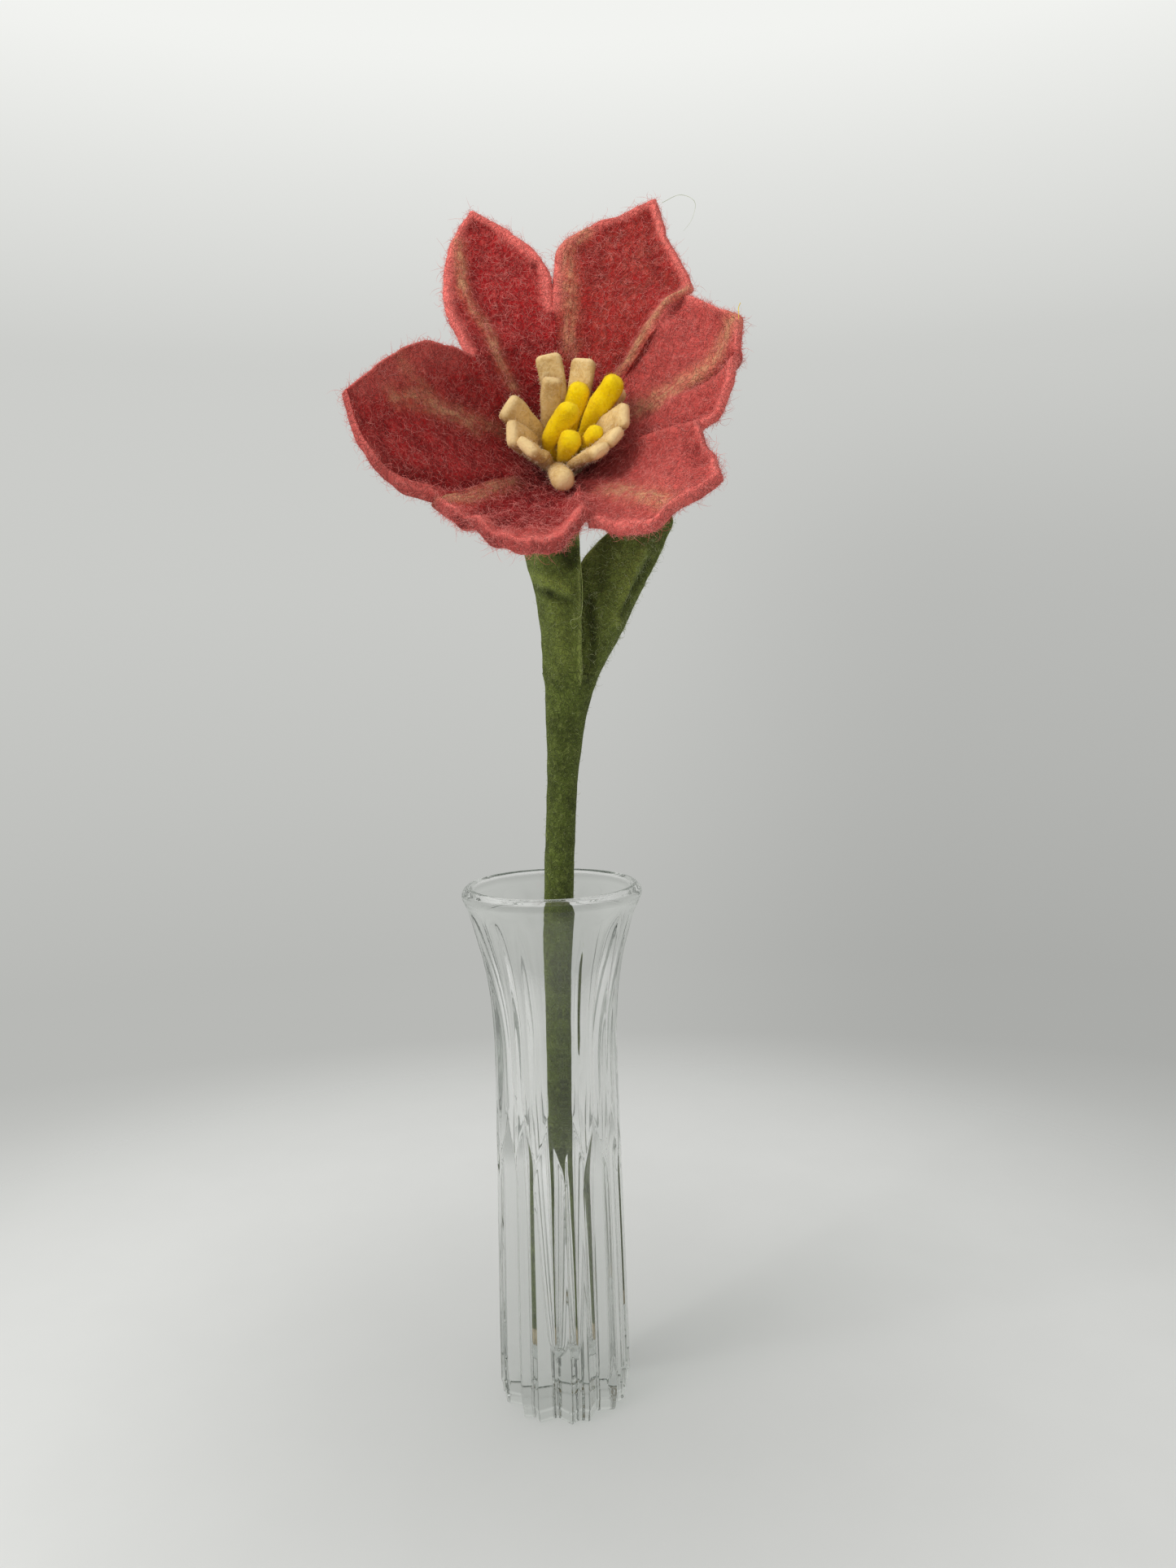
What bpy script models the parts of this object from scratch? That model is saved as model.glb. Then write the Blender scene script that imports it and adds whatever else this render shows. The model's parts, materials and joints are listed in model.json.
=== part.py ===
"""A felt hibiscus standing in a pressed glass bud vase.

The vase stands on the origin with +Z up, and the flower looks forward along -Y.
Lengths are in millimetres and become metres through MM where a mesh is made.
"""

import math

import bmesh
import bpy
from mathutils import Matrix, Vector

MM = 0.001
COLLECTION_NAME = "hibiscus_in_vase"
CLEARANCE = 0.3  # kept between pieces that touch

# Vase: one solid of clear pressed glass, turned, then cut with V-shaped flutes.
VASE_TURN_STEPS = 48
VASE_RIM_Z = 177.0
RIM_CREST_RADIUS = 27.85
RIM_ROLL_OUT = 2.4
RIM_ROLL_UP = 3.0
RIM_ROLL_STEPS = 6
VASE_OUTSIDE = [  # (radius, height) below the rolled rim, down to the foot
    (28.6, 172.5), (26.4, 165.0), (23.9, 155.0), (22.2, 146.0), (21.3, 136.0),
    (20.95, 122.0), (21.2, 98.0), (21.9, 58.0), (22.8, 4.0), (22.4, 0.0),
]
VASE_BORE = [  # (radius, height) from the mouth down to where the round floor starts
    (24.0, 170.5), (21.4, 160.0), (18.6, 150.0), (16.2, 140.0), (14.5, 131.0),
    (13.5, 121.0), (12.7, 105.0), (11.4, 72.0), (9.9, 40.0), (8.8, 24.0),
]
BORE_FLOOR_Z = 15.0
BORE_FLOOR_STEPS = 4
FLUTE_COUNT = 16
FLUTE_START_DEG = 14.2  # turn of the first flute from straight ahead
# Shallow and deep flutes take turns: (valley radius at the foot, valley radius where the run-out
# starts, half depth and half width of the bar that cuts it, run-out height, point radius, point
# height).
FLUTE_KINDS = [
    (21.0, 19.8, 3.0, 5.25, 88.0, 21.8, 118.0),
    (18.75, 17.85, 5.0, 7.68, 80.0, 22.4, 118.5),
]
FLUTE_BELOW_FOOT = 5.0

# Stem line from the bottom of the vase to the throat of the flower: (x, y, z).
STEM_LINE = [
    (-0.6, 2.2, 12.0), (-0.2, 0.0, 45.0), (0.5, -4.9, 90.0), (1.2, -8.58, 125.0), (2.6, -9.6, 177.0),
    (4.1, -10.0, 205.0), (5.3, -10.2, 222.0), (6.7, -10.4, 238.0), (8.3, -10.6, 250.0),
    (8.7, -10.6, 268.0), (9.2, -10.4, 285.0), (9.4, -12.2, 298.0), (9.1, -17.2, 307.3),
    (8.8, -22.7, 312.05),
]
STEM_FOOT_Z = 24.0
STEM_TOP_Z = 250.0
STEM_RADIUS = 4.8
STEM_FLARE = [  # (height, half width, half depth) where the felt widens into the lobes
    (214.0, 4.9, 4.9), (222.0, 5.3, 5.1), (230.0, 5.9, 5.3), (238.0, 6.7, 5.6), (244.0, 7.6, 6.0),
    (250.0, 9.0, 6.4),
]
STEM_SIDES = 16
STATION_STEP = 10.0  # rings of the stem and all that runs inside it share these heights
CORE_RADIUS_LOW = 3.0
CORE_RADIUS_HIGH = 2.0
CORE_ROUND_Z = 18.6
CORE_FOOT = [(17.0, 2.4), (16.2, 1.4)]  # (height, radius) of the rounded lower end
CORE_TAPER_Z = (200.0, 245.0)
CORE_END_Z = 300.0
WIRE_RADIUS = 0.8
WIRE_FOOT_Z = 19.0
WIRE_END_Z = 292.0
INNER_SIDES = 10

# Neck of the flower: carries the petals and the stamens on its flat end.
NECK_WIDTHS = [  # (height on the stem line, radius)
    (250.3, 3.4), (260.0, 3.8), (270.0, 4.4), (280.0, 4.9), (290.0, 5.2), (300.0, 5.9),
]

# The throat is the origin of the flower's own cylinder coordinates:
# azimuth in degrees from the flower's right, radius from its axis, height along it.
THROAT = Vector((8.6, -26.0, 314.35))
FLOWER_LIFT_DEG = 35.0
FLOWER_SWING_DEG = 4.0
NECK_FACE = -4.0  # height of the neck's flat end along the flower's axis
NECK_FACE_RADIUS = 9.4
NECK_SHOULDER = -8.0
NECK_SHOULDER_RADIUS = 7.6

PETAL_THICKNESS = 3.0
PETAL_FOOT = (6.5, -1.6)  # radius and height where the inner face starts
PETAL_SEAM_GAP = 0.3
PETAL_OPENING = ((6.0, 35.0), (30.0, 60.0))  # (radius, angle from the axis) of the trumpet
PETAL_ROWS = 12
PETAL_COLUMNS = 8
PETAL_SEAM_STOPS = (0.5, 0.9)  # shares of the seam that both neighbours pass through
SEAM_KNEE = (13.0, 6.0)  # radius and height where the throat opens out
MERGE_DISTANCE = 0.05  # points of a bent sheet that meet, as at a petal's tip
LINE_STEP = 0.002  # share of a line's length over which its direction is read
HALVINGS = 30  # of the search for a height on the stem line
# Each petal: azimuths of its two seams, the edge on each side as it is met from the throat
# to the tip, the shared tip, and how far the middle sinks behind the edges.
PETALS = {
    "petal_left": {
        "seams": (224, 145), "tip": (194, 55.5, 44.5), "dish": 4.0,
        "low_edge": [(224, 45.5, 22), (218, 53.5, 27.5), (208, 56.5, 35.5)],
        "high_edge": [(145, 31.5, 26.5), (151, 36, 31.5), (165, 40.5, 39), (182, 46.5, 43)],
    },
    "petal_upper_left": {
        "seams": (143, 94), "tip": (111, 77.5, 34.5), "dish": 4.0,
        "low_edge": [(143, 32.5, 25.5), (134, 48, 28), (126, 60, 30), (118, 70.5, 32.5)],
        "high_edge": [(94, 41.5, 22), (94, 49, 26.5), (97, 57.5, 29), (104, 68.5, 31.5)],
    },
    "petal_upper_right": {
        "seams": (94, 44), "tip": (69, 80.5, 34), "dish": 4.0,
        "low_edge": [(94, 41.5, 22), (92.5, 53, 27.5), (90, 61, 30), (82, 69, 31), (76, 73, 32)],
        "high_edge": [(44, 38, 25.5), (46, 47.5, 29), (45, 55, 29), (53, 60.5, 30.5), (61, 67, 31)],
    },
    "petal_right": {
        "seams": (44, -18), "tip": (15, 53.5, 40.5), "dish": 3.0,
        "low_edge": [(44, 38, 25.5), (42, 43.5, 31.5), (37, 46, 34.5), (26, 48, 38)],
        "high_edge": [(-18, 42, 27), (-15, 45.5, 29), (-9, 48, 32.5), (0, 50, 36.5), (8, 51.5, 38.5)],
    },
    "petal_lower_right": {
        "seams": (-18, -77), "tip": (-40, 58.5, 33), "dish": 3.0,
        "low_edge": [(-18, 42, 27), (-27, 45.5, 28.5), (-33, 51, 31.5)],
        "high_edge": [(-77, 44.5, 24), (-72, 50, 27), (-64, 58, 30.5), (-57, 57, 33), (-46, 58, 33)],
    },
    "petal_bottom": {
        "seams": (-77, -136), "tip": (-95, 58.5, 30), "dish": 3.0,
        "low_edge": [(-77, 44.5, 24), (-80, 48, 25.5), (-84, 51.5, 27.5), (-87, 55.5, 29.5)],
        "high_edge": [(-136, 46.5, 22), (-127, 47.5, 25), (-116, 49.5, 27.5), (-106, 54, 29)],
    },
}

# Cream stamens: one felt strip each, given by its tip in the flower's coordinates.
STAMEN_TIPS = [
    (22, 20.5, 20.0), (74, 24.0, 21.0), (99, 24.0, 21.5), (105, 13.5, 22.0), (172, 15.0, 22.0),
    (206, 16.0, 22.0), (232, 16.0, 21.0), (275, 23.5, 17.0), (308, 19.2, 21.0), (331, 19.2, 21.0),
    (355, 19.2, 22.0),
]
STAMEN_FIRST_FOOT = 31.0  # azimuth; the feet stand evenly around the throat
STAMEN_THICKNESS = 2.3
STAMEN_TIP_WIDTH = 6.2
STAMEN_SIDE_GAP = 0.5
STAMEN_LEAST_ROOM = 18.0  # degrees; a strip that stands before another gets this much at its tip
STAMEN_FOOT_RADIUS = 3.3
STAMEN_FOOT_LIFT = 1.7
STAMEN_KNEE = (6.9, 4.2)  # radius and height where the strips turn outwards
STAMEN_KNEE_TURN = 0.2  # share of the turn from foot to tip that is made by then
STAMEN_COLUMNS = 3
STAMEN_ROWS = 8

# Yellow stigma fingers: the azimuth of the foot, then (azimuth, radius, height) points up to
# the tip, and the radius of the round end.
STIGMA_FINGERS = [
    (90, [(70, 6.8, 9.5), (64, 14.0, 19.5)], 2.9), (18, [(24, 9.0, 12.0), (27, 18.0, 26.0)], 2.3),
    (162, [(200, 4.2, 9.5), (344, 2.8, 23.0)], 2.8), (306, [(322, 7.0, 8.0), (326, 14.0, 19.5)], 2.0),
    (234, [(275, 5.4, 7.5), (290, 9.6, 18.0)], 2.7),
]
STIGMA_WIDTHS = [(0.0, 0.23), (0.35, 0.5), (0.7, 1.0)]  # (share of length, share of end radius)
STIGMA_END_STEPS = 4
STIGMA_END_TURN = 80.0  # degrees of the round end before its small flat cap
STIGMA_FOOT_RING = 1.5
STIGMA_FOOT_LIFT = 0.6
STIGMA_SIDES = 10

# Green lobes: outline points across the sheet, one row for each height, seen from above.
LEAF_THICKNESS = 2.2
LEAF_COLUMNS = 9
LEAF_LEFT = {
    250.3: [(2.6, -5.2), (-0.5, -10.6), (3.5, -16.2), (12.2, -17.2)],
    262.0: [(2.0, -4.6), (-0.6, -11.0), (3.5, -17.6), (12.3, -18.2)],
    275.0: [(-0.4, -4.4), (-2.1, -11.4), (2.5, -19.4), (12.5, -19.4)],
    287.0: [(-3.2, -5.0), (-5.3, -12.4), (0.4, -21.6), (12.6, -20.6)],
    298.0: [(-5.6, -6.4), (-8.0, -13.6), (-1.2, -23.8), (12.4, -22.6)],
}
LEAF_RIGHT = {
    250.3: [(13.4, -16.0), (15.6, -14.6), (17.6, -11.6), (18.2, -7.6)],
    262.0: [(13.7, -15.6), (18.4, -15.4), (23.0, -13.2), (25.3, -8.4)],
    275.0: [(13.8, -14.0), (21.0, -15.6), (28.4, -14.0), (31.8, -8.4)],
    287.0: [(14.6, -12.4), (24.0, -14.6), (33.6, -12.8), (38.4, -8.0)],
    298.0: [(22.5, -10.4), (30.5, -12.6), (38.0, -11.0), (42.8, -8.0)],
    305.0: [(31.5, -8.6), (34.0, -9.6), (37.5, -9.4), (40.0, -8.4)],
}

MATERIALS = {  # name: (colour, roughness)
    "clear_glass": ((0.92, 0.94, 0.93), 0.03),
    "green_felt": ((0.10, 0.15, 0.03), 0.95),
    "coral_felt": ((0.50, 0.07, 0.07), 0.95),
    "cream_felt": ((0.58, 0.44, 0.22), 0.95),
    "yellow_felt": ((0.70, 0.50, 0.01), 0.95),
    "wool_core": ((0.55, 0.48, 0.36), 0.95),
    "steel_wire": ((0.45, 0.45, 0.45), 0.4),
}


def clear_scene():
    """Remove every object that the new file starts with."""
    for item in list(bpy.data.objects):
        bpy.data.objects.remove(item, do_unlink=True)


def make_collection(name):
    """Return a new collection linked under the scene."""
    collection = bpy.data.collections.new(name)
    bpy.context.scene.collection.children.link(collection)
    return collection


def make_material(name):
    """Return a Principled material of MATERIALS, made once."""
    if name in bpy.data.materials:
        return bpy.data.materials[name]
    colour, roughness = MATERIALS[name]
    material = bpy.data.materials.new(name)
    material.use_nodes = True
    shader = material.node_tree.nodes["Principled BSDF"]
    shader.inputs["Base Color"].default_value = (*colour, 1.0)
    shader.inputs["Roughness"].default_value = roughness
    shader.inputs["Metallic"].default_value = 1.0 if name == "steel_wire" else 0.0
    shader.inputs["Transmission Weight"].default_value = 1.0 if name == "clear_glass" else 0.0
    return material


def add_object(name, bm, collection, material=None):
    """Turn a bmesh in millimetres into a smooth shaded object in metres."""
    bmesh.ops.scale(bm, vec=(MM, MM, MM), verts=bm.verts)
    mesh = bpy.data.meshes.new(name)
    bm.to_mesh(mesh)
    bm.free()
    mesh.shade_smooth()
    mesh.set_sharp_from_angle(angle=math.radians(40))
    item = bpy.data.objects.new(name, mesh)
    collection.objects.link(item)
    if material:
        mesh.materials.append(make_material(material))
    return item


def add_solidify(item, thickness):
    """Give an open sheet its thickness, away from the side that its faces look to."""
    shell = item.modifiers.new("thickness", "SOLIDIFY")
    shell.thickness = thickness * MM
    shell.offset = -1.0
    shell.use_even_offset = False


def add_backing(bm, backing):
    """Close an open sheet with a second skin, moved from the first by backing(point)."""
    grown = bmesh.ops.extrude_face_region(bm, geom=list(bm.faces), use_keep_orig=True)["geom"]
    for vert in [item for item in grown if isinstance(item, bmesh.types.BMVert)]:
        vert.co += backing(vert.co)
    bmesh.ops.recalc_face_normals(bm, faces=bm.faces)


def cut_with(item, cutter):
    """Take a cutter away from an object."""
    cutter.hide_render = True
    cutter.display_type = "WIRE"
    boolean = item.modifiers.new("cut_" + cutter.name, "BOOLEAN")
    boolean.operation = "DIFFERENCE"
    boolean.solver = "EXACT"
    boolean.object = cutter


def smooth_through(points, fraction):
    """Read a Catmull-Rom curve through tuples at a fraction of its length."""
    vectors = [Vector(point) for point in points]
    reach = [0.0]
    for start, end in zip(vectors, vectors[1:]):
        reach.append(reach[-1] + (end - start).length)
    target = fraction * reach[-1]
    span = 0
    while span < len(vectors) - 2 and target > reach[span + 1]:
        span += 1
    local = (target - reach[span]) / (reach[span + 1] - reach[span])
    before = vectors[span - 1] if span else 2 * vectors[0] - vectors[1]
    start, end = vectors[span], vectors[span + 1]
    after = vectors[span + 2] if span + 2 < len(vectors) else 2 * end - start
    leaving, arriving = (end - before) / 2, (after - start) / 2
    square, cube = local ** 2, local ** 3
    return (
        start * (2 * cube - 3 * square + 1) + leaving * (cube - 2 * square + local)
        + end * (3 * square - 2 * cube) + arriving * (cube - square)
    )


def petal_opening(radius):
    """Return the angle between the flower's axis and a petal at a radius, in radians."""
    (near, steep), (far, wide) = PETAL_OPENING
    share = min(1.0, max(0.0, (radius - near) / (far - near)))
    return math.radians(steep + (wide - steep) * share)


def flower_axes():
    """Return the flower's right, up and outward directions."""
    outward = Vector((0, -1, 0))
    outward.rotate(Matrix.Rotation(math.radians(-FLOWER_LIFT_DEG), 3, "X"))
    outward.rotate(Matrix.Rotation(math.radians(-FLOWER_SWING_DEG), 3, "Z"))
    right = Matrix.Rotation(math.radians(-FLOWER_SWING_DEG), 3, "Z") @ Vector((1, 0, 0))
    return right, outward.cross(right), outward


def from_flower(azimuth, radius, height):
    """Return the world point of the flower's own cylinder coordinates."""
    right, upward, outward = flower_axes()
    angle = math.radians(azimuth)
    return THROAT + radius * (math.cos(angle) * right + math.sin(angle) * upward) + height * outward


def turned(name, profile, steps, collection, material=None):
    """Turn a (radius, height) profile, listed down its outer side, around +Z."""
    bm = bmesh.new()
    verts = [bm.verts.new((radius, 0.0, height)) for radius, height in profile]
    for start, end in zip(verts, verts[1:]):
        bm.edges.new((start, end))
    item = add_object(name, bm, collection, material)
    screw = item.modifiers.new("turn", "SCREW")
    screw.axis = "Z"
    screw.angle = math.radians(360)
    screw.steps = steps
    screw.render_steps = steps
    screw.use_merge_vertices = True
    screw.merge_threshold = 0.00001
    return item


def vase_profile():
    """Return the closed glass section from the rim, down outside and up inside."""
    crest = []
    for step in range(RIM_ROLL_STEPS + 1):
        angle = math.radians(180 - 180 * step / RIM_ROLL_STEPS)
        crest.append((RIM_CREST_RADIUS + RIM_ROLL_OUT * math.cos(angle),
                      VASE_RIM_Z + RIM_ROLL_UP * math.sin(angle)))
    mouth, outer_roll = crest[0], crest[1:]
    bore_radius, floor_start = VASE_BORE[-1]
    floor = []
    for step in range(1, BORE_FLOOR_STEPS + 1):
        angle = math.radians(90 * step / BORE_FLOOR_STEPS)
        floor.append((bore_radius * math.cos(angle),
                      floor_start - (floor_start - BORE_FLOOR_Z) * math.sin(angle)))
    floor[-1] = (0.0, BORE_FLOOR_Z)
    inside = [mouth] + VASE_BORE + floor
    return [mouth] + outer_roll + VASE_OUTSIDE + [(0.0, 0.0)], inside


def build_vase(parts, cutters):
    """Turn the glass, bore it, and cut deep and shallow flutes in turn from its lower half."""
    outside, inside = vase_profile()
    vase = turned("vase", outside + inside[:0:-1] + [outside[0]], VASE_TURN_STEPS, parts, "clear_glass")
    for parity in (0, 1):
        cut_with(vase, build_flute_cutter(parity, cutters))
    return vase


def build_flute_cutter(parity, cutters):
    """Make every second flute's diamond bar, with a point at its upper end."""
    bm = bmesh.new()
    foot, valley, half_depth, half_width, runout, point_radius, point_height = FLUTE_KINDS[parity]
    run = runout + FLUTE_BELOW_FOOT
    for index in range(parity, FLUTE_COUNT, 2):
        turn = Matrix.Rotation(math.radians(FLUTE_START_DEG + 360 * index / FLUTE_COUNT - 90), 3, "Z")
        bar = bmesh.ops.create_cone(
            bm, cap_ends=True, segments=4, radius1=half_depth, radius2=half_depth, depth=run)
        low = -FLUTE_BELOW_FOOT + run / 2
        bmesh.ops.scale(bm, vec=(1, half_width / half_depth, 1), verts=bar["verts"])
        bmesh.ops.translate(bm, vec=(foot + half_depth, 0, low), verts=bar["verts"])
        top = [vert for vert in bar["verts"] if vert.co.z > low]
        bmesh.ops.translate(bm, vec=(valley - foot, 0, 0), verts=top)
        lid = next(face for face in top[0].link_faces if all(vert in top for vert in face.verts))
        tip = bmesh.ops.extrude_discrete_faces(bm, faces=[lid])["faces"][0]
        tip_verts = list(tip.verts)
        for vert in tip_verts:
            vert.co = Vector((point_radius, 0, point_height))
        bmesh.ops.rotate(bm, cent=(0, 0, 0), matrix=turn, verts=bar["verts"] + tip_verts)
    bmesh.ops.remove_doubles(bm, verts=bm.verts, dist=0.001)
    return add_object("flute_cutter_%d" % parity, bm, cutters)


def line_frame(line, fraction):
    """Return a point of a smooth line and the two directions across it."""
    centre = smooth_through(line, fraction)
    behind = smooth_through(line, max(0.0, fraction - LINE_STEP))
    ahead = smooth_through(line, min(1.0, fraction + LINE_STEP))
    along = (ahead - behind).normalized()
    across = (Vector((1, 0, 0)) - along.x * along).normalized()
    return centre, across, along.cross(across)


def stem_fraction(height):
    """Return the fraction of the stem line that lies at a height."""
    low, high = 0.0, 1.0
    for _ in range(HALVINGS):
        middle = (low + high) / 2
        if smooth_through(STEM_LINE, middle).z < height:
            low = middle
        else:
            high = middle
    return low


def loft(rings):
    """Skin closed rings of equal count into one capped bmesh."""
    bm = bmesh.new()
    rows = [[bm.verts.new(point) for point in ring] for ring in rings]
    count = len(rows[0])
    for lower, upper in zip(rows, rows[1:]):
        for side in range(count):
            after = (side + 1) % count
            bm.faces.new((lower[side], lower[after], upper[after], upper[side]))
    bm.faces.new(rows[0][::-1])
    bm.faces.new(rows[-1])
    bmesh.ops.recalc_face_normals(bm, faces=bm.faces)
    return bm


def sweep_rings(widths, sides):
    """Return ellipses around the stem line, from (height, half width, half depth)."""
    rings = []
    for height, half_width, half_depth in widths:
        centre, across, deep = line_frame(STEM_LINE, stem_fraction(height))
        angles = [math.tau * side / sides for side in range(sides)]
        rings.append([centre + half_width * math.cos(angle) * across + half_depth * math.sin(angle) * deep
                      for angle in angles])
    return rings


def sweep(widths, sides):
    """Loft ellipses around the stem line into one capped bmesh."""
    return loft(sweep_rings(widths, sides))


def round_bar(heights, radius_at, sides):
    """Loft circles around the stem line, with a radius for each height."""
    return sweep([(height, radius_at(height), radius_at(height)) for height in heights], sides)


def level_end(bm, height, upper):
    """Bring the lowest or highest ring of a sweep to one level."""
    ordered = sorted(bm.verts, key=lambda vert: vert.co.z, reverse=upper)
    for vert in ordered[:STEM_SIDES]:
        vert.co.z = height


def core_radius(height):
    """Return the wool core's radius at a height."""
    low, high = CORE_TAPER_Z
    share = min(1.0, max(0.0, (height - low) / (high - low)))
    return CORE_RADIUS_LOW + (CORE_RADIUS_HIGH - CORE_RADIUS_LOW) * share


def wide_of_core(height):
    """Return the radius of a hole that the core runs through."""
    return core_radius(height) + CLEARANCE


def bore_cutter(name, heights, radius_at, cutters):
    """Make the cutter of a hole that follows the stem line."""
    return add_object(name, round_bar(heights, radius_at, INNER_SIDES), cutters)


def stations(low, high):
    """Return both ends and every shared station of the stem between them."""
    first = math.floor(low / STATION_STEP) + 1
    between = [index * STATION_STEP for index in range(first, math.ceil(high / STATION_STEP))]
    margin = STATION_STEP / 5
    return [low] + [height for height in between if low + margin < height < high - margin] + [high]


def build_stem(parts, cutters):
    """Build the green felt sleeve, its wool core and the wire inside."""
    plain = stations(STEM_FOOT_Z, STEM_FLARE[0][0])[:-1]
    bm = sweep([(height, STEM_RADIUS, STEM_RADIUS) for height in plain] + STEM_FLARE, STEM_SIDES)
    level_end(bm, STEM_TOP_Z, True)
    stem = add_object("stem_sleeve", bm, parts, "green_felt")
    around_core = stations(STEM_FOOT_Z - 4, STEM_TOP_Z + 4)
    cut_with(stem, bore_cutter("sleeve_bore", around_core, wide_of_core, cutters))

    core_bm = round_bar(stations(CORE_ROUND_Z, CORE_END_Z), core_radius, INNER_SIDES)
    round_foot(core_bm)
    core = add_object("stem_core", core_bm, parts, "wool_core")
    wire_hole = stations(STEM_LINE[0][2], WIRE_END_Z + CLEARANCE)
    cut_with(core, bore_cutter("core_bore", wire_hole, lambda z: WIRE_RADIUS + CLEARANCE, cutters))
    wire_bm = round_bar(stations(WIRE_FOOT_Z, WIRE_END_Z), lambda z: WIRE_RADIUS, INNER_SIDES)
    add_object("stem_wire", wire_bm, parts, "steel_wire")


def round_foot(bm):
    """Round the core's lower end down to the floor of the vase."""
    face = min(bm.faces, key=lambda item: item.calc_center_median().z)
    for height, radius in CORE_FOOT:
        face = bmesh.ops.extrude_discrete_faces(bm, faces=[face])["faces"][0]
        centre = face.calc_center_median()
        reach = (face.verts[0].co - centre).length
        for vert in face.verts:
            vert.co = (vert.co - centre) * radius / reach + Vector((centre.x, centre.y, height))


def build_neck(parts, cutters):
    """Build the neck that bends forward and ends in the flat face under the petals."""
    rings = sweep_rings([(height, radius, radius) for height, radius in NECK_WIDTHS], STEM_SIDES)
    for height, radius in ((NECK_SHOULDER, NECK_SHOULDER_RADIUS), (NECK_FACE, NECK_FACE_RADIUS)):
        rings.append([from_flower(360 * side / STEM_SIDES, radius, height) for side in range(STEM_SIDES)])
    bm = loft(rings)
    level_end(bm, NECK_WIDTHS[0][0], False)
    neck = add_object("flower_neck", bm, parts, "coral_felt")
    around_core = stations(STEM_TOP_Z - 4, CORE_END_Z + CLEARANCE)
    cut_with(neck, bore_cutter("neck_bore", around_core, wide_of_core, cutters))


def bent_grid(place, columns, rows):
    """Bend a flat grid through place(across, along), both 0 to 1."""
    bm = bmesh.new()
    bmesh.ops.create_grid(bm, x_segments=columns, y_segments=rows, size=0.5)
    for vert in bm.verts:
        vert.co = place(vert.co.x + 0.5, vert.co.y + 0.5)
    bmesh.ops.remove_doubles(bm, verts=bm.verts, dist=MERGE_DISTANCE)
    return bm


def petal_edge(seam, points, tip, side):
    """Return the world points of one edge of a petal, moved off the seam by half the gap."""
    knee, notch = Vector((seam, *SEAM_KNEE)), Vector(points[0])
    stops = [tuple(knee.lerp(notch, share)) for share in PETAL_SEAM_STOPS]
    edge = []
    for azimuth, radius, height in [(seam, *PETAL_FOOT), tuple(knee)] + stops + points:
        inset = math.degrees(PETAL_SEAM_GAP / radius) * side
        edge.append(from_flower(azimuth + inset, radius, height))
    return edge + [from_flower(*tip)]


def off_axis(point):
    """Return the part of a point's offset from the throat that is square to the flower's axis."""
    outward = flower_axes()[2]
    offset = point - THROAT
    return offset - offset.dot(outward) * outward


def behind_petal(point):
    """Return the petal's thickness at a point, square to the trumpet that it lies on."""
    radial = off_axis(point)
    opening = petal_opening(radial.length)
    direction = radial.normalized() * math.cos(opening) - flower_axes()[2] * math.sin(opening)
    return direction * PETAL_THICKNESS


def build_petal(name, shape, parts):
    """Loft a petal between its two edges: round at the throat, dished further out."""
    first, second = shape["seams"]
    side = 1 if second > first else -1
    low = petal_edge(first, shape["low_edge"], shape["tip"], side)
    high = petal_edge(second, shape["high_edge"], shape["tip"], -side)
    dish = shape["dish"] / PETAL_THICKNESS

    def place(across, along):
        start, end = smooth_through(low, along), smooth_through(high, along)
        middle = start.lerp(end, across)
        radial = off_axis(middle)
        full_round = (1 - across) * off_axis(start).length + across * off_axis(end).length
        swell = (full_round - radial.length) * (1 - along) ** 2
        sink = 4 * across * (1 - across) * dish * math.sin(math.pi * along)
        return middle + radial.normalized() * swell + behind_petal(middle) * sink

    bm = bent_grid(place, PETAL_COLUMNS, PETAL_ROWS)
    add_backing(bm, behind_petal)
    return add_object(name, bm, parts, "coral_felt")


def room_between(azimuths, index):
    """Return the degrees from one stamen's tip to its nearest neighbour's."""
    own = azimuths[index]
    gaps = [abs((other - own + 180) % 360 - 180) for place, other in enumerate(azimuths) if place != index]
    return max(STAMEN_LEAST_ROOM, min(gaps))


def build_stamen(index, parts):
    """Bend a strip from the neck's face out to its tip, as wide as its neighbours leave room."""
    azimuth, radius, height = STAMEN_TIPS[index]
    foot_room = 360 / len(STAMEN_TIPS)
    tip_room = room_between([tip[0] for tip in STAMEN_TIPS], index)
    foot = STAMEN_FIRST_FOOT + foot_room * index
    knee_radius, knee_height = STAMEN_KNEE
    line = [
        (foot, STAMEN_FOOT_RADIUS, NECK_FACE + STAMEN_FOOT_LIFT),
        (foot + (azimuth - foot) * STAMEN_KNEE_TURN, knee_radius, knee_height),
        ((foot + azimuth) / 2, (knee_radius + radius) / 2, (knee_height + height) / 2),
        (azimuth, radius, height),
    ]

    def place(across, along):
        turn, reach, rise = smooth_through(line, along)
        room = math.radians(foot_room + (tip_room - foot_room) * along) * reach
        width = min(STAMEN_TIP_WIDTH, room - STAMEN_SIDE_GAP)
        sideways = from_flower(turn + 90, 1, 0) - THROAT
        return from_flower(turn, reach, rise) + sideways * width * (across - 0.5)

    bm = bent_grid(place, STAMEN_COLUMNS, STAMEN_ROWS)
    add_backing(bm, lambda point: behind_petal(point) * STAMEN_THICKNESS / PETAL_THICKNESS)
    return add_object("stamen_%02d" % (index + 1), bm, parts, "cream_felt")


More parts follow.
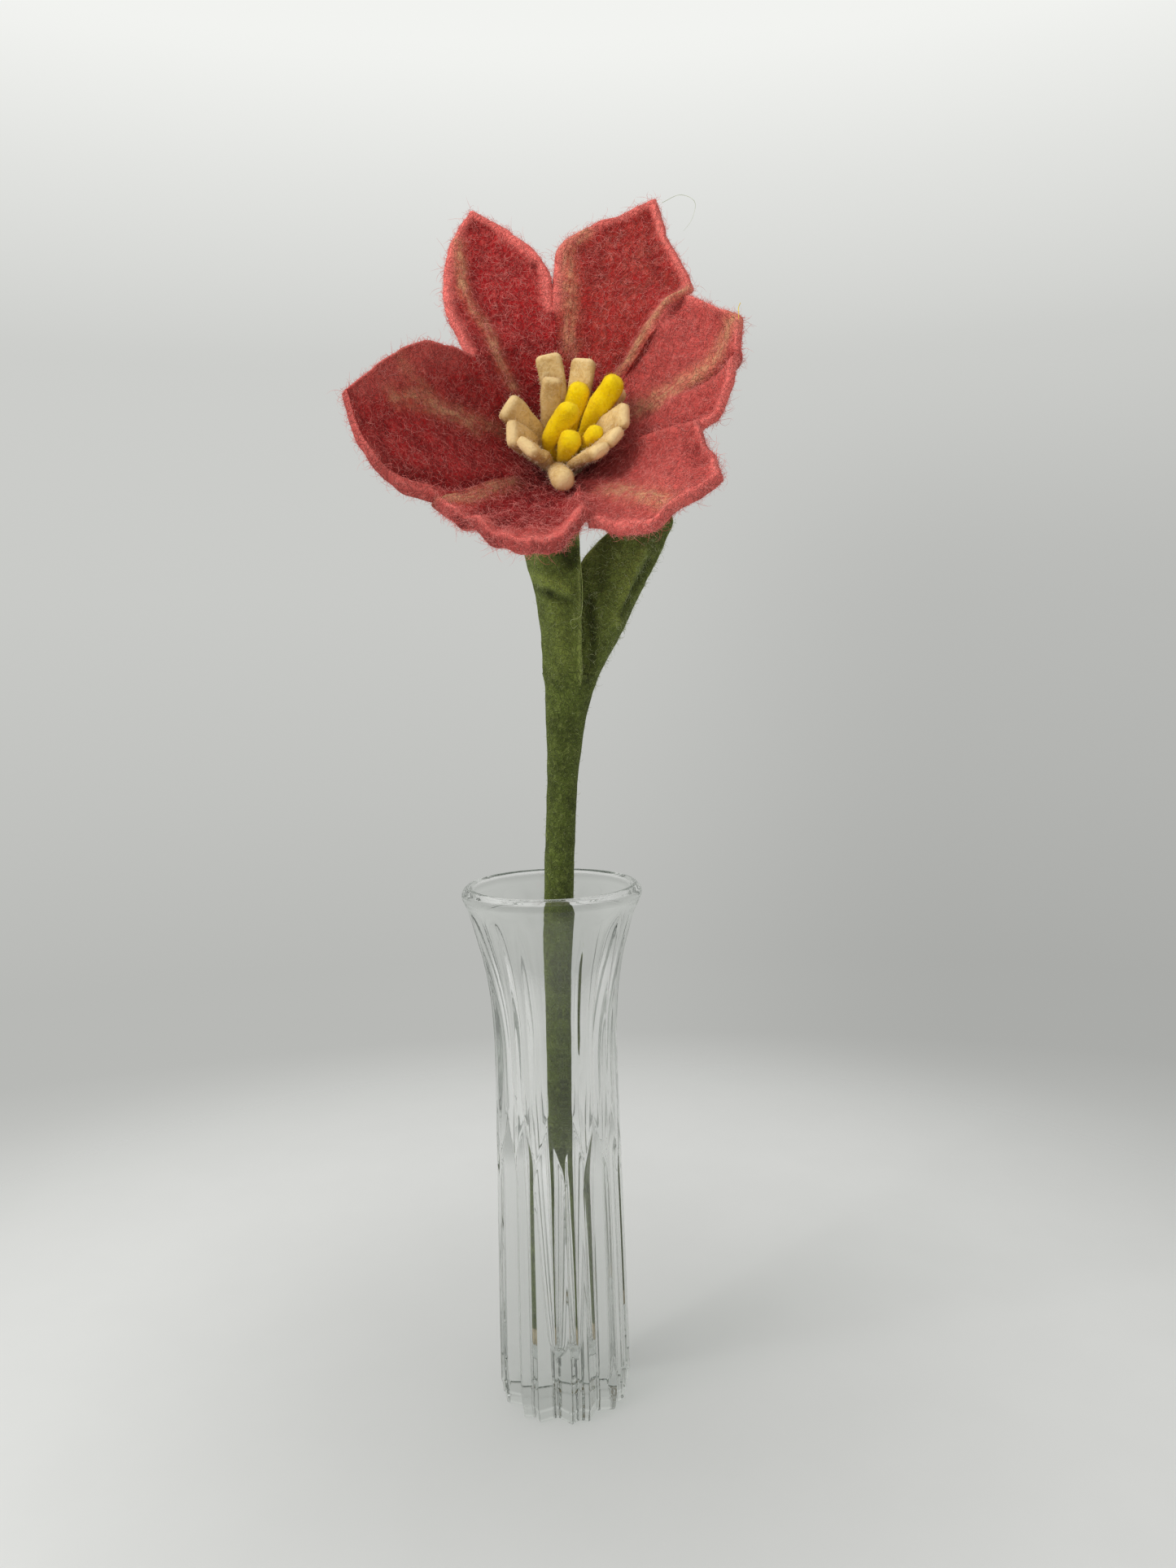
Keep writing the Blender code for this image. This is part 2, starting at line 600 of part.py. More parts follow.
def build_stigma(name, finger, parts):
    """Build one yellow finger that thickens towards its round end."""
    foot_azimuth, route, end_radius = finger
    line = [from_flower(foot_azimuth, STIGMA_FOOT_RING, NECK_FACE + STIGMA_FOOT_LIFT)]
    line += [from_flower(*place) for place in route]
    length = sum((end - start).length for start, end in zip(line, line[1:]))
    widths = [(share, width * end_radius) for share, width in STIGMA_WIDTHS]
    for step in range(STIGMA_END_STEPS):
        angle = math.radians(STIGMA_END_TURN * step / (STIGMA_END_STEPS - 1))
        widths.append((1 - end_radius * (1 - math.sin(angle)) / length, end_radius * math.cos(angle)))
    rings = []
    for share, radius in widths:
        centre, across, deep = line_frame(line, share)
        angles = [math.tau * side / STIGMA_SIDES for side in range(STIGMA_SIDES)]
        rings.append([centre + radius * (math.cos(angle) * across + math.sin(angle) * deep)
                      for angle in angles])
    return add_object(name, loft(rings), parts, "yellow_felt")


def build_leaf(name, rows, parts):
    """Loft a green lobe through its rows of outline points."""
    heights = sorted(rows)

    def place(across, along):
        lines = []
        for height in heights:
            point = smooth_through([(x, y, 0.0) for x, y in rows[height]], across)
            lines.append((point.x, point.y, height))
        return smooth_through(lines, along)

    item = add_object(name, bent_grid(place, LEAF_COLUMNS, 2 * (len(heights) - 1)), parts, "green_felt")
    add_solidify(item, LEAF_THICKNESS)
    return item


def main():
    """Build every piece of the flower and its vase."""
    clear_scene()
    parts = make_collection(COLLECTION_NAME)
    cutters = make_collection("cutters")
    build_vase(parts, cutters)
    build_stem(parts, cutters)
    build_neck(parts, cutters)
    build_leaf("leaf_left", LEAF_LEFT, parts)
    build_leaf("leaf_right", LEAF_RIGHT, parts)
    for name, shape in PETALS.items():
        build_petal(name, shape, parts)
    for index in range(len(STAMEN_TIPS)):
        build_stamen(index, parts)
    for index, finger in enumerate(STIGMA_FINGERS, start=1):
        build_stigma("stigma_%d" % index, finger, parts)


main()
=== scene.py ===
"""Dress a felt hibiscus and its pressed-glass bud vase over their fixed frame.

The vase stands on the origin with +Z up, and the flower looks forward along -Y. Shapes are
worked out in millimetres and become metres where a mesh is made.
"""

import json
import logging
import math
from dataclasses import dataclass, field, replace
from enum import Enum, IntEnum

import bmesh
import bpy
import numpy as np
from mathutils import Matrix, Vector, noise

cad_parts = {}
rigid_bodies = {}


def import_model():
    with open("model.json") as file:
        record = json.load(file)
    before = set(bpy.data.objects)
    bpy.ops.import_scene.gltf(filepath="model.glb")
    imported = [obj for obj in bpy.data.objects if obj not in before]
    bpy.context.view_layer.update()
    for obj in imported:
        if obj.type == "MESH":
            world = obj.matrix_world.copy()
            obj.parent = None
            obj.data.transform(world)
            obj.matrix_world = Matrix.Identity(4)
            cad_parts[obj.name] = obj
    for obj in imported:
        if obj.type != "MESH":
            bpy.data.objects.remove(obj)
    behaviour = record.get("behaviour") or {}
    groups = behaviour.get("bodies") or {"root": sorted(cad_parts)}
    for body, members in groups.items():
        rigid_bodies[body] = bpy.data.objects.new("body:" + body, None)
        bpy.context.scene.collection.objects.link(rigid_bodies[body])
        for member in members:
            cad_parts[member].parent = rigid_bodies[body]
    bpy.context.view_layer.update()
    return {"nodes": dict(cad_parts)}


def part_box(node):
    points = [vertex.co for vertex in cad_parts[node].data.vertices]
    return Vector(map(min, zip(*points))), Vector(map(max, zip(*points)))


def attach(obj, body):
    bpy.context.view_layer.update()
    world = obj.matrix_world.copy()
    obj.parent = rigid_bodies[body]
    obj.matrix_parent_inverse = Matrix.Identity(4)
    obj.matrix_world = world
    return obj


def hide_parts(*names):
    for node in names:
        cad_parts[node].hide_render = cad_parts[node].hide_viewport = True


for leftover in list(bpy.data.objects):
    bpy.data.objects.remove(leftover, do_unlink=True)
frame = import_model()

log = logging.getLogger("hibiscus")
MM = 0.001
BODY = "root"
Colour = tuple[float, float, float]
Point = tuple[float, ...]
RimDepths = tuple[tuple[np.ndarray, np.ndarray], ...]


def paint(red: int, green: int, blue: int) -> Colour:
    """Turn a display colour, 0 to 255, into the linear colour that a shader takes.

    Args:
        red: Red share.
        green: Green share.
        blue: Blue share.

    Returns:
        The linear colour.
    """
    shares = (red / 255, green / 255, blue / 255)
    return tuple(s / 12.92 if s <= 0.04045 else ((s + 0.055) / 1.055) ** 2.4 for s in shares)


class Number:
    """A shader value whose Python operators add Math nodes."""

    def __init__(self, graph: "Graph", socket: bpy.types.NodeSocket) -> None:
        """Wrap one output socket of a graph."""
        self.graph = graph
        self.socket = socket

    def then(self, operation: str, *others: "Number | float") -> "Number":
        """Put this value through a Math node.

        Args:
            operation: The Math node's operation.
            others: Its further values.

        Returns:
            The node's result.
        """
        return self.graph.math(operation, self, *others)

    def __add__(self, other: "Number | float") -> "Number":
        """Add."""
        return self.then("ADD", other)

    __radd__ = __add__

    def __sub__(self, other: "Number | float") -> "Number":
        """Subtract."""
        return self.then("SUBTRACT", other)

    def __rsub__(self, other: "Number | float") -> "Number":
        """Subtract this value from another."""
        return self.graph.math("SUBTRACT", other, self)

    def __mul__(self, other: "Number | float") -> "Number":
        """Multiply."""
        return self.then("MULTIPLY", other)

    __rmul__ = __mul__

    def between(self, low: float, high: float) -> "Number":
        """Rise smoothly from 0 at low to 1 at high.

        Args:
            low: The value that gives 0.
            high: The value that gives 1.

        Returns:
            The smooth share.
        """
        node = self.graph.node(
            "ShaderNodeMapRange",
            {"interpolation_type": "SMOOTHSTEP"},
            {"Value": self, "From Min": low, "From Max": high},
        )
        return Number(self.graph, node.outputs["Result"])


class Graph:
    """The node tree of one material or world."""

    def __init__(self, tree: bpy.types.NodeTree) -> None:
        """Empty the tree and keep it."""
        self.tree = tree
        tree.nodes.clear()

    def node(self, kind: str, settings: dict | None = None, inputs: dict | None = None) -> bpy.types.Node:
        """Add a node.

        Args:
            kind: The node's type.
            settings: Its properties, set first; "stops" are a ramp's (place, colour) pairs.
            inputs: Values or links of its sockets, by name or index.

        Returns:
            The new node.
        """
        made = self.tree.nodes.new(kind)
        for name, value in (settings or {}).items():
            if name == "stops":
                self._set_stops(made.color_ramp, value)
            else:
                setattr(made, name, value)
        for name, value in (inputs or {}).items():
            socket = made.inputs[name]
            source = value.socket if isinstance(value, Number) else value
            if isinstance(source, bpy.types.NodeSocket):
                self.tree.links.new(source, socket)
            elif socket.type == "RGBA":
                socket.default_value = (*source, 1.0)
            else:
                socket.default_value = source
        return made

    @staticmethod
    def _set_stops(ramp: bpy.types.ColorRamp, stops: list[tuple[float, Colour]]) -> None:
        """Give a ramp its (place, colour) stops.

        Args:
            ramp: The ramp.
            stops: Its (place, colour) pairs, in order.
        """
        while len(ramp.elements) < len(stops):
            ramp.elements.new(1.0)
        for element, (place, colour) in zip(ramp.elements, stops):
            element.position = place
            element.color = (*colour, 1.0)

    def math(self, operation: str, *terms: Number | float) -> Number:
        """Add a Math node on values or numbers, and return its result."""
        node = self.node("ShaderNodeMath", {"operation": operation}, dict(enumerate(terms)))
        return Number(self, node.outputs[0])

    def mix(self, share: Number | float, first: object, second: object) -> bpy.types.NodeSocket:
        """Mix two colours.

        Args:
            share: The second colour's share.
            first: A colour or a colour socket.
            second: A colour or a colour socket.

        Returns:
            The mixed colour's socket.
        """
        settings = {"data_type": "RGBA", "clamp_factor": True}
        return self.node("ShaderNodeMix", settings, {0: share, 6: first, 7: second}).outputs[2]

    def noise(self, place: object, scale: float, detail: float = 2.0, twist: float = 0.0) -> Number:
        """Add a Noise texture.

        Args:
            place: The coordinates' socket.
            scale: Features for each metre.
            detail: Octaves of finer noise.
            twist: Distortion.

        Returns:
            The noise's value.
        """
        inputs = {"Vector": place, "Scale": scale, "Detail": detail, "Distortion": twist}
        return Number(self, self.node("ShaderNodeTexNoise", None, inputs).outputs["Fac"])

    def shifted(self, place: object, offset: Point) -> bpy.types.NodeSocket:
        """Move coordinates by an offset, for a noise of its own."""
        inputs = {0: place, 1: offset}
        return self.node("ShaderNodeVectorMath", {"operation": "ADD"}, inputs).outputs[0]

    def own_place(self) -> bpy.types.NodeSocket:
        """Return the object's own coordinates."""
        return self.node("ShaderNodeTexCoord").outputs["Object"]

    def attribute(self, name: str) -> tuple[Number, Number, Number, Number]:
        """Read a colour attribute as four numbers.

        Args:
            name: The attribute.

        Returns:
            Red, green, blue and alpha.
        """
        read = self.node("ShaderNodeAttribute", {"attribute_name": name})
        parts = self.node("ShaderNodeSeparateColor", None, {0: read.outputs["Color"]})
        return tuple(Number(self, s) for s in (*parts.outputs, read.outputs["Alpha"]))

    def show(self, surface: bpy.types.Node, body: bpy.types.Node | None = None) -> None:
        """Let the material show its shaders.

        Args:
            surface: The surface's shader.
            body: The shader of what the surface encloses.
        """
        inputs = {"Surface": surface.outputs[0]}
        if body:
            inputs["Volume"] = body.outputs[0]
        self.node("ShaderNodeOutputMaterial", None, inputs)


def new_material(name: str) -> tuple[bpy.types.Material, Graph]:
    """Make an empty node material and its graph.

    Args:
        name: The material's name.

    Returns:
        The material and its graph.
    """
    material = bpy.data.materials.new(name)
    material.use_nodes = True
    return material, Graph(material.node_tree)


@dataclass(frozen=True)
class FeltFinish:
    """Matted wool: mottled ground, wandering fibres, worked-in wisps, paler cut edges that are partly painted
    highlight, and painted shade in creases and towards the throat.
    """

    name: str
    dark: Colour
    ground: Colour
    bright: Colour
    edge: Colour
    fibre: Colour
    wisp: Colour
    fibre_share: float = 0.5
    lump_scale: float = 150.0
    fibre_scale: float = 230.0
    sheen: float = 0.04
    relief: float = 0.0008
    fainter_strands: tuple[float, ...] = (0.8, 0.6)
    strand_turns: float = 5.0
    strand_width: float = 0.16

    def strands(self, graph: Graph, place: object, layer: int) -> Number:
        """Draw thin wandering lines, as loose fibres lie on felt.

        Args:
            graph: The graph.
            place: The coordinates.
            layer: Number of the layer, for its own course and scale.

        Returns:
            1 on the lines.
        """
        scale = self.fibre_scale * (1 + 0.37 * layer)
        moved = graph.shifted(place, (0.013 * layer, 0.029 * layer, 0.007 * layer))
        hills = graph.noise(moved, scale, 1.0, 0.8)
        wave = (hills * self.strand_turns).then("FRACT") - 0.5
        return 1 - wave.then("ABSOLUTE").between(0.0, self.strand_width)

    def dress(self) -> bpy.types.Material:
        """Make the material.

        Returns:
            The material.
        """
        material, graph = new_material(self.name)
        place = graph.own_place()
        # edge carries the paler cut rim together with a painted highlight, deep carries painted shade together with
        # the darker cut face, and tone carries how light the felt is, partly painted light.
        edge, wisp, deep, tone = graph.attribute("felt")
        lay = graph.node("ShaderNodeAttribute", {"attribute_name": "lay"}).outputs["Vector"]
        lumps = graph.noise(place, self.lump_scale, 5.0)
        colour = graph.mix(0.35 + 0.65 * lumps.between(0.34, 0.6), self.dark, self.ground)
        # tone lightens the felt towards its bright colour, partly as painted light.
        colour = graph.mix(tone * (0.5 + 0.5 * lumps), colour, self.bright)
        mat = graph.noise(place, 4.0 * self.fibre_scale, 3.0, 0.6)
        colour = graph.mix(mat.between(0.46, 0.7) * self.fibre_share * 0.6, colour, self.fibre)
        colour = graph.mix((1 - mat).between(0.5, 0.7) * 0.35, colour, self.dark)
        layers = [self.strands(graph, place, layer) for layer in range(1 + len(self.fainter_strands))]
        patchy = graph.noise(place, 2.2 * self.lump_scale, 3.0).between(0.34, 0.62)
        fibres = layers[0]
        for share, strands in zip(self.fainter_strands, layers[1:]):
            fibres = fibres + share * strands
        showing = (0.25 + 0.75 * patchy) * (1 - 0.8 * deep) * (0.75 + 0.5 * tone)
        colour = graph.mix(fibres * showing * self.fibre_share * 1.25, colour, self.fibre)
        # Paler rims: the felt's own paler cut edge with a painted highlight on the rounded rim.
        pale_and_lit_edge = (edge + 0.6 * lumps + 0.3 * mat - 0.45).between(0.05, 0.62)
        colour = graph.mix(pale_and_lit_edge * 0.95, colour, self.edge)
        streaks = graph.noise(lay, 1.0, 3.0, 0.3).between(0.3, 0.66)
        hazy = (wisp * 2.0 * (0.4 + 0.6 * streaks) * (0.45 + 0.55 * patchy)).then("MINIMUM", 0.9)
        colour = graph.mix(hazy, colour, self.wisp)
        # Painted shade, and the darker cut face: deep darkens towards the dark colour, and towards black where it is
        # strongest.
        colour = graph.mix((deep * 0.85).then("MINIMUM", 1.0), colour, self.dark)
        colour = graph.mix((deep * deep * 0.3).then("MINIMUM", 0.8), colour, (0.0, 0.0, 0.0))
        height = fibres * 0.4 + mat * 1.2 + lumps
        bump = graph.node(
            "ShaderNodeBump", None, {"Strength": 1.0, "Distance": self.relief, "Height": height})
        surface = graph.node("ShaderNodeBsdfPrincipled", None, {
            "Base Color": colour, "Roughness": 0.95, "Specular IOR Level": 0.15,
            "Sheen Weight": self.sheen, "Sheen Roughness": 0.5, "Normal": bump.outputs[0],
        })
        graph.show(surface)
        return material


@dataclass(frozen=True)
class FuzzFinish:
    """Single loose fibres, which change colour from place to place."""

    name: str
    first: Colour
    second: Colour
    patch_scale: float = 420.0

    def dress(self) -> bpy.types.Material:
        """Make the material.

        Returns:
            The material.
        """
        material, graph = new_material(self.name)
        patches = graph.noise(graph.own_place(), self.patch_scale, 1.0).between(0.4, 0.6)
        colour = graph.mix(patches, self.first, self.second)
        surface = graph.node("ShaderNodeBsdfPrincipled", None, {
            "Base Color": colour, "Roughness": 0.8, "Specular IOR Level": 0.2, "Sheen Weight": 0.2,
        })
        graph.show(surface)
        return material


@dataclass(frozen=True)
class GlassFinish:
    """Clear pressed glass with a slightly wavy, fire-polished surface."""

    name: str = "clear_pressed_glass"
    tint: Colour = (0.995, 0.997, 0.994)
    depth_tint: Colour = (0.5, 0.54, 0.5)
    depth_loss: float = 11.5
    light_tint: Colour = (0.95, 0.96, 0.955)
    refraction: float = 1.5
    waviness: float = 0.00012
    wave_scale: float = 90.0
    wave_strength: float = 0.03

    def dress(self) -> bpy.types.Material:
        """Make the material, through which light reaches what stands inside the glass.

        Returns:
            The material.
        """
        material, graph = new_material(self.name)
        waves = graph.noise(graph.own_place(), self.wave_scale, 2.0)
        bump = graph.node("ShaderNodeBump", None, {
            "Strength": self.wave_strength, "Distance": self.waviness, "Height": waves})
        glass = graph.node("ShaderNodeBsdfPrincipled", None, {
            "Base Color": self.tint, "Roughness": 0.0, "IOR": self.refraction,
            "Transmission Weight": 1.0, "Normal": bump.outputs[0],
        })
        open_air = graph.node("ShaderNodeBsdfTransparent", None, {"Color": self.light_tint})
        ways = graph.node("ShaderNodeLightPath").outputs
        lighting = graph.math("MAXIMUM", Number(graph, ways["Is Shadow Ray"]),
                              Number(graph, ways["Is Diffuse Ray"]))
        mixed = graph.node(
            "ShaderNodeMixShader", None, {0: lighting, 1: glass.outputs[0], 2: open_air.outputs[0]})
        body = graph.node("ShaderNodeVolumeAbsorption", None, {
            "Color": self.depth_tint, "Density": self.depth_loss})
        graph.show(mixed, body)
        return material


@dataclass(frozen=True)
class WireFinish:
    """Drawn steel wire with faint lines along it."""

    name: str = "drawn_steel"
    bright: Colour = (0.52, 0.52, 0.52)
    dull: Colour = (0.3, 0.3, 0.31)
    line_scale: float = 900.0

    def dress(self) -> bpy.types.Material:
        """Make the material.

        Returns:
            The material.
        """
        material, graph = new_material(self.name)
        lines = graph.noise(graph.own_place(), self.line_scale, 2.0)
        surface = graph.node("ShaderNodeBsdfPrincipled", None, {
            "Base Color": graph.mix(lines, self.dull, self.bright), "Metallic": 1.0,
            "Roughness": 0.3 + 0.2 * lines,
        })
        graph.show(surface)
        return material


CORAL = FeltFinish(
    name="coral_wool", dark=paint(114, 5, 10), ground=paint(169, 18, 24), bright=paint(220, 106, 97),
    edge=paint(252, 128, 118), fibre=paint(228, 116, 106), wisp=paint(218, 160, 120), fibre_share=0.42,
)
GREEN = FeltFinish(
    name="green_wool", dark=paint(47, 54, 22), ground=paint(79, 91, 38), bright=paint(126, 138, 64),
    edge=paint(136, 148, 78), fibre=paint(142, 154, 84), wisp=paint(150, 160, 92), fibre_share=0.3,
)
CREAM = FeltFinish(
    name="cream_wool", dark=paint(160, 116, 50), ground=paint(216, 180, 116), bright=paint(234, 206, 150),
    edge=paint(236, 206, 150), fibre=paint(242, 220, 170), wisp=paint(236, 212, 164), fibre_share=0.3,
    relief=0.0001,
)
YELLOW = FeltFinish(
    name="yellow_wool", dark=paint(202, 154, 0), ground=paint(240, 204, 0), bright=paint(248, 218, 14),
    edge=paint(246, 214, 30), fibre=paint(250, 228, 70), wisp=paint(250, 228, 70), fibre_share=0.14,
    relief=0.0001,
)
CORE_WOOL = FeltFinish(
    name="undyed_wool", dark=paint(140, 124, 96), ground=paint(186, 170, 136), bright=paint(204, 190, 158),
    edge=paint(204, 190, 158), fibre=paint(220, 208, 180), wisp=paint(220, 208, 180), fibre_share=0.3,
)


class Spline:
    """A smooth curve through points, read by shares of its length."""

    def __init__(self, points: list[Point]) -> None:
        """Keep the points and how far along each one lies.

        Args:
            points: What the curve goes through.
        """
        self.points = np.array([tuple(point) for point in points], float)
        steps = np.linalg.norm(np.diff(self.points, axis=0), axis=1)
        self.reach = np.concatenate([[0.0], np.cumsum(steps)])

    @property
    def length(self) -> float:
        """Return the length of the line through the points."""
        return float(self.reach[-1])

    def share_of(self, index: int) -> float:
        """Return the share of the length at which a point lies."""
        return float(self.reach[index] / self.reach[-1])

    def at(self, shares: np.ndarray) -> np.ndarray:
        """Read places on the curve.

        Args:
            shares: Shares of the length, 0 to 1.

        Returns:
            One row of coordinates for each share.
        """
        shares = np.asarray(shares, float)
        target = shares * self.reach[-1]
        span = np.clip(np.searchsorted(self.reach, target, side="left") - 1, 0, len(self.points) - 2)
        local = ((target - self.reach[span]) / (self.reach[span + 1] - self.reach[span]))[..., None]
        ends = np.vstack([2 * self.points[0] - self.points[1], self.points,
                          2 * self.points[-1] - self.points[-2]])
        before, start, end, after = (ends[span + step] for step in range(4))
        square, cube = local ** 2, local ** 3
        return (start * (2 * cube - 3 * square + 1) + (end - before) / 2 * (cube - 2 * square + local)
                + end * (3 * square - 2 * cube) + (after - start) / 2 * (cube - square))

    def directions(self, shares: np.ndarray, step: float = 0.004) -> np.ndarray:
        """Return the unit directions of the curve at shares of its length."""
        ahead = self.at(np.clip(shares + step, 0, 1)) - self.at(np.clip(shares - step, 0, 1))
        return ahead / np.linalg.norm(ahead, axis=-1, keepdims=True)


def unit(vectors: np.ndarray) -> np.ndarray:
    """Return vectors at a length of one."""
    return vectors / np.maximum(np.linalg.norm(vectors, axis=-1, keepdims=True), 1e-9)


def crowding_ends(count: int) -> np.ndarray:
    """Return shares from 0 to 1, in a number of steps that are finest at both ends."""
    return 0.5 - 0.5 * np.cos(np.linspace(0, np.pi, count + 1))


def whole_turn(sides: int) -> np.ndarray:
    """Return the angles of a ring's points, in radians."""
    return np.linspace(0, 2 * np.pi, sides, endpoint=False)


def smooth_rise(values: np.ndarray, low: float, high: float) -> np.ndarray:
    """Rise smoothly from 0 at low to 1 at high."""
    share = np.clip((values - low) / (high - low), 0, 1)
    return share * share * (3 - 2 * share)


def bumpy(points: np.ndarray, size: float, seed: float) -> np.ndarray:
    """Read smooth noise at points.

    Args:
        points: Points in millimetres, in the last axis.
        size: Size of a bump in millimetres.
        seed: Offset that gives another pattern.

    Returns:
        Values of about -1 to 1.
    """
    flat = points.reshape(-1, points.shape[-1]) / size + seed
    values = [noise.noise(Vector(row)) for row in np.pad(flat, ((0, 0), (0, 3 - flat.shape[1])))]
    return np.array(values).reshape(points.shape[:-1])


@dataclass(frozen=True)
class Lumps:
    """The felt's unevenness: height and size in millimetres of its coarse and of its fine bumps."""

    coarse: tuple[float, float]
    fine: tuple[float, float]

    def at(self, points: np.ndarray, coarse_seed: float, fine_seed: float) -> np.ndarray:
        """Read the unevenness at points.

        Args:
            points: Points in millimetres, in the last axis.
            coarse_seed: Offset that gives the coarse bumps a pattern of their own.
            fine_seed: The same for the fine bumps.

        Returns:
            Heights in millimetres.
        """
        (tall, wide), (low, narrow) = self.coarse, self.fine
        return tall * bumpy(points, wide, coarse_seed) + low * bumpy(points, narrow, fine_seed)


@dataclass(frozen=True)
class Fold:
    """A line worked into the felt, on the flat chart of a piece, with the painted shade and painted highlight that
    it is given.
    """

    path: tuple[tuple[float, float], ...]
    width: float
    lift: float = 0.0
    wisp: float = 0.0
    # dark paints shade into the crease, and light paints a highlight on the ridge.
    dark: float = 0.0
    light: float = 0.0
    polar: bool = True

    def nearness(self, chart: np.ndarray) -> np.ndarray:
        """Return 1 on the line, fading over its width.

        Args:
            chart: Flat coordinates of the points to test.

        Returns:
            The nearness of each point.
        """
        line = np.array(self.path, float)
        if self.polar:
            angle = np.radians(line[:, 0])
            line = np.stack([np.cos(angle), np.sin(angle)], axis=1) * line[:, 1:]
        line = Spline([tuple(point) for point in line]).at(np.linspace(0, 1, 8 * len(line)))
        closest = np.full(chart.shape[:-1], 1e9)
        for start, end in zip(line, line[1:]):
            along = end - start
            share = np.clip(((chart - start) @ along) / max(along @ along, 1e-9), 0, 1)
            closest = np.minimum(closest, np.linalg.norm(chart - start - share[..., None] * along, axis=-1))
        return np.exp(-(closest / self.width) ** 2)


@dataclass
class FeltPaint:
    """What the felt's finish reads at each point of a piece: the pale rim, partly painted highlight; wisps; painted
    shade and the darker cut face; and tone, partly painted light.
    """

    edge: np.ndarray
    wisp: np.ndarray
    deep: np.ndarray
    tone: np.ndarray
    lay: np.ndarray

    @classmethod
    def plain(cls, shape: tuple[int, ...], tone: float) -> "FeltPaint":
        """Return paint for an even piece."""
        zero = np.zeros(shape)
        return cls(zero, zero.copy(), zero.copy(), np.full(shape, tone), np.zeros((*shape, 3)))

    def fold_in(self, fold: Fold, near: np.ndarray) -> None:
        """Add a fold's wisps, its painted shade and its painted highlight.

        Args:
            fold: What is worked into the felt.
            near: How near each point lies to it, from 0 to 1.
        """
        self.wisp = self.wisp + near * fold.wisp
        self.deep = self.deep + near * fold.dark
        self.tone = self.tone + near * fold.light

    def doubled(self) -> "FeltPaint":
        """Return the paint of both skins of a sheet, around its cross-section."""
        return FeltPaint(*(np.concatenate([part, part[:, ::-1]], axis=1)
                           for part in (self.edge, self.wisp, self.deep, self.tone, self.lay)))


def wrap(points: np.ndarray, felt: FeltPaint | None = None, ends: bool = True) -> bmesh.types.BMesh:
    """Bend a grid into a closed tube.

    Args:
        points: Rings of points, one row for each ring, in millimetres.
        felt: What the felt's finish reads, with the same rows and columns.
        ends: Whether the ends are filled; otherwise the last ring meets the first.

    Returns:
        The mesh, in millimetres.
    """
    rows, columns = points.shape[:2]
    bm = bmesh.new()
    bmesh.ops.create_grid(bm, x_segments=columns, y_segments=rows - 1, size=0.5)
    look = bm.verts.layers.float_color.new("felt") if felt else None
    lay = bm.verts.layers.float_vector.new("lay") if felt else None
    for vert in bm.verts:
        column = round((vert.co.x + 0.5) * columns) % columns
        row = round((vert.co.y + 0.5) * (rows - 1))
        vert.co = points[row, column]
        if felt:
            vert[look] = (felt.edge[row, column], felt.wisp[row, column], felt.deep[row, column],
                          felt.tone[row, column])
            vert[lay] = felt.lay[row, column]
    bmesh.ops.remove_doubles(bm, verts=bm.verts, dist=0.0005)
    bmesh.ops.dissolve_degenerate(bm, edges=bm.edges, dist=0.0005)
    if ends:
        open_edges = [edge for edge in bm.edges if edge.is_boundary]
        bmesh.ops.holes_fill(bm, edges=open_edges, sides=0)
    bmesh.ops.recalc_face_normals(bm, faces=bm.faces)
    return bm


def sheet(face: np.ndarray, behind: np.ndarray, depth: np.ndarray | float, closing: np.ndarray,
          felt: FeltPaint) -> bmesh.types.BMesh:
    """Give a felt sheet its thickness and its rounded rims.

    Args:
        face: The sheet's inner face.
        behind: The direction from the inner to the outer face.
        depth: The full thickness, in millimetres.
        closing: How far each point lies into the rounding, up to 1 at the rim.
        felt: What the felt's finish reads.

    Returns:
        The mesh, in millimetres.
    """
    thick = depth * np.sqrt(np.clip(1 - closing ** 2, 0, 1))
    front = face + behind * ((depth - thick) / 2)[..., None]
    back = face + behind * ((depth + thick) / 2)[..., None]
    return wrap(np.concatenate([front, back[:, ::-1]], axis=1), felt.doubled())


def link_mesh(name: str, bm: bmesh.types.BMesh, material: bpy.types.Material) -> bpy.types.Object:
    """Put a mesh into the scene.

    Args:
        name: The object's name.
        bm: Its mesh in metres, which is freed.
        material: Its material.

    Returns:
        The object.
    """
    mesh = bpy.data.meshes.new(name)
    bm.to_mesh(mesh)
    bm.free()
    mesh.materials.append(material)
    made = bpy.data.objects.new(name, mesh)
    bpy.context.scene.collection.objects.link(made)
    return made


def add_piece(name: str, bm: bmesh.types.BMesh, material: bpy.types.Material,
              nodes: tuple[str, ...] = (), sharp: float = 60.0) -> bpy.types.Object:
    """Turn a mesh in millimetres into a smooth shaded piece on the object's body.

    Args:
        name: The piece's name.
        bm: Its mesh, which is freed.
        material: Its material.
        nodes: The frame's nodes that it stands for.
        sharp: Degrees above which an edge stays sharp.

    Returns:
        The piece.
    """
    bmesh.ops.scale(bm, vec=(MM, MM, MM), verts=bm.verts)
    piece = link_mesh(name, bm, material)
    piece.data.shade_smooth()
    piece.data.set_sharp_from_angle(angle=math.radians(sharp))
    return join_in(piece, nodes)


def join_in(piece: bpy.types.Object, nodes: tuple[str, ...] = ()) -> bpy.types.Object:
    """Let a piece ride on the body and stand for nodes of the frame.

    Args:
        piece: The finished piece.
        nodes: The frame's nodes that it replaces.

    Returns:
        The same piece.
    """
    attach(piece, BODY)
    if nodes:
        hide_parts(*nodes)
    log.info("made %s", piece.name)
    return piece


def box_mm(node: str) -> tuple[np.ndarray, np.ndarray]:
    """Return the lowest and highest corner of a frame node, in millimetres."""
    low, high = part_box(node)
    return np.array(low) / MM, np.array(high) / MM


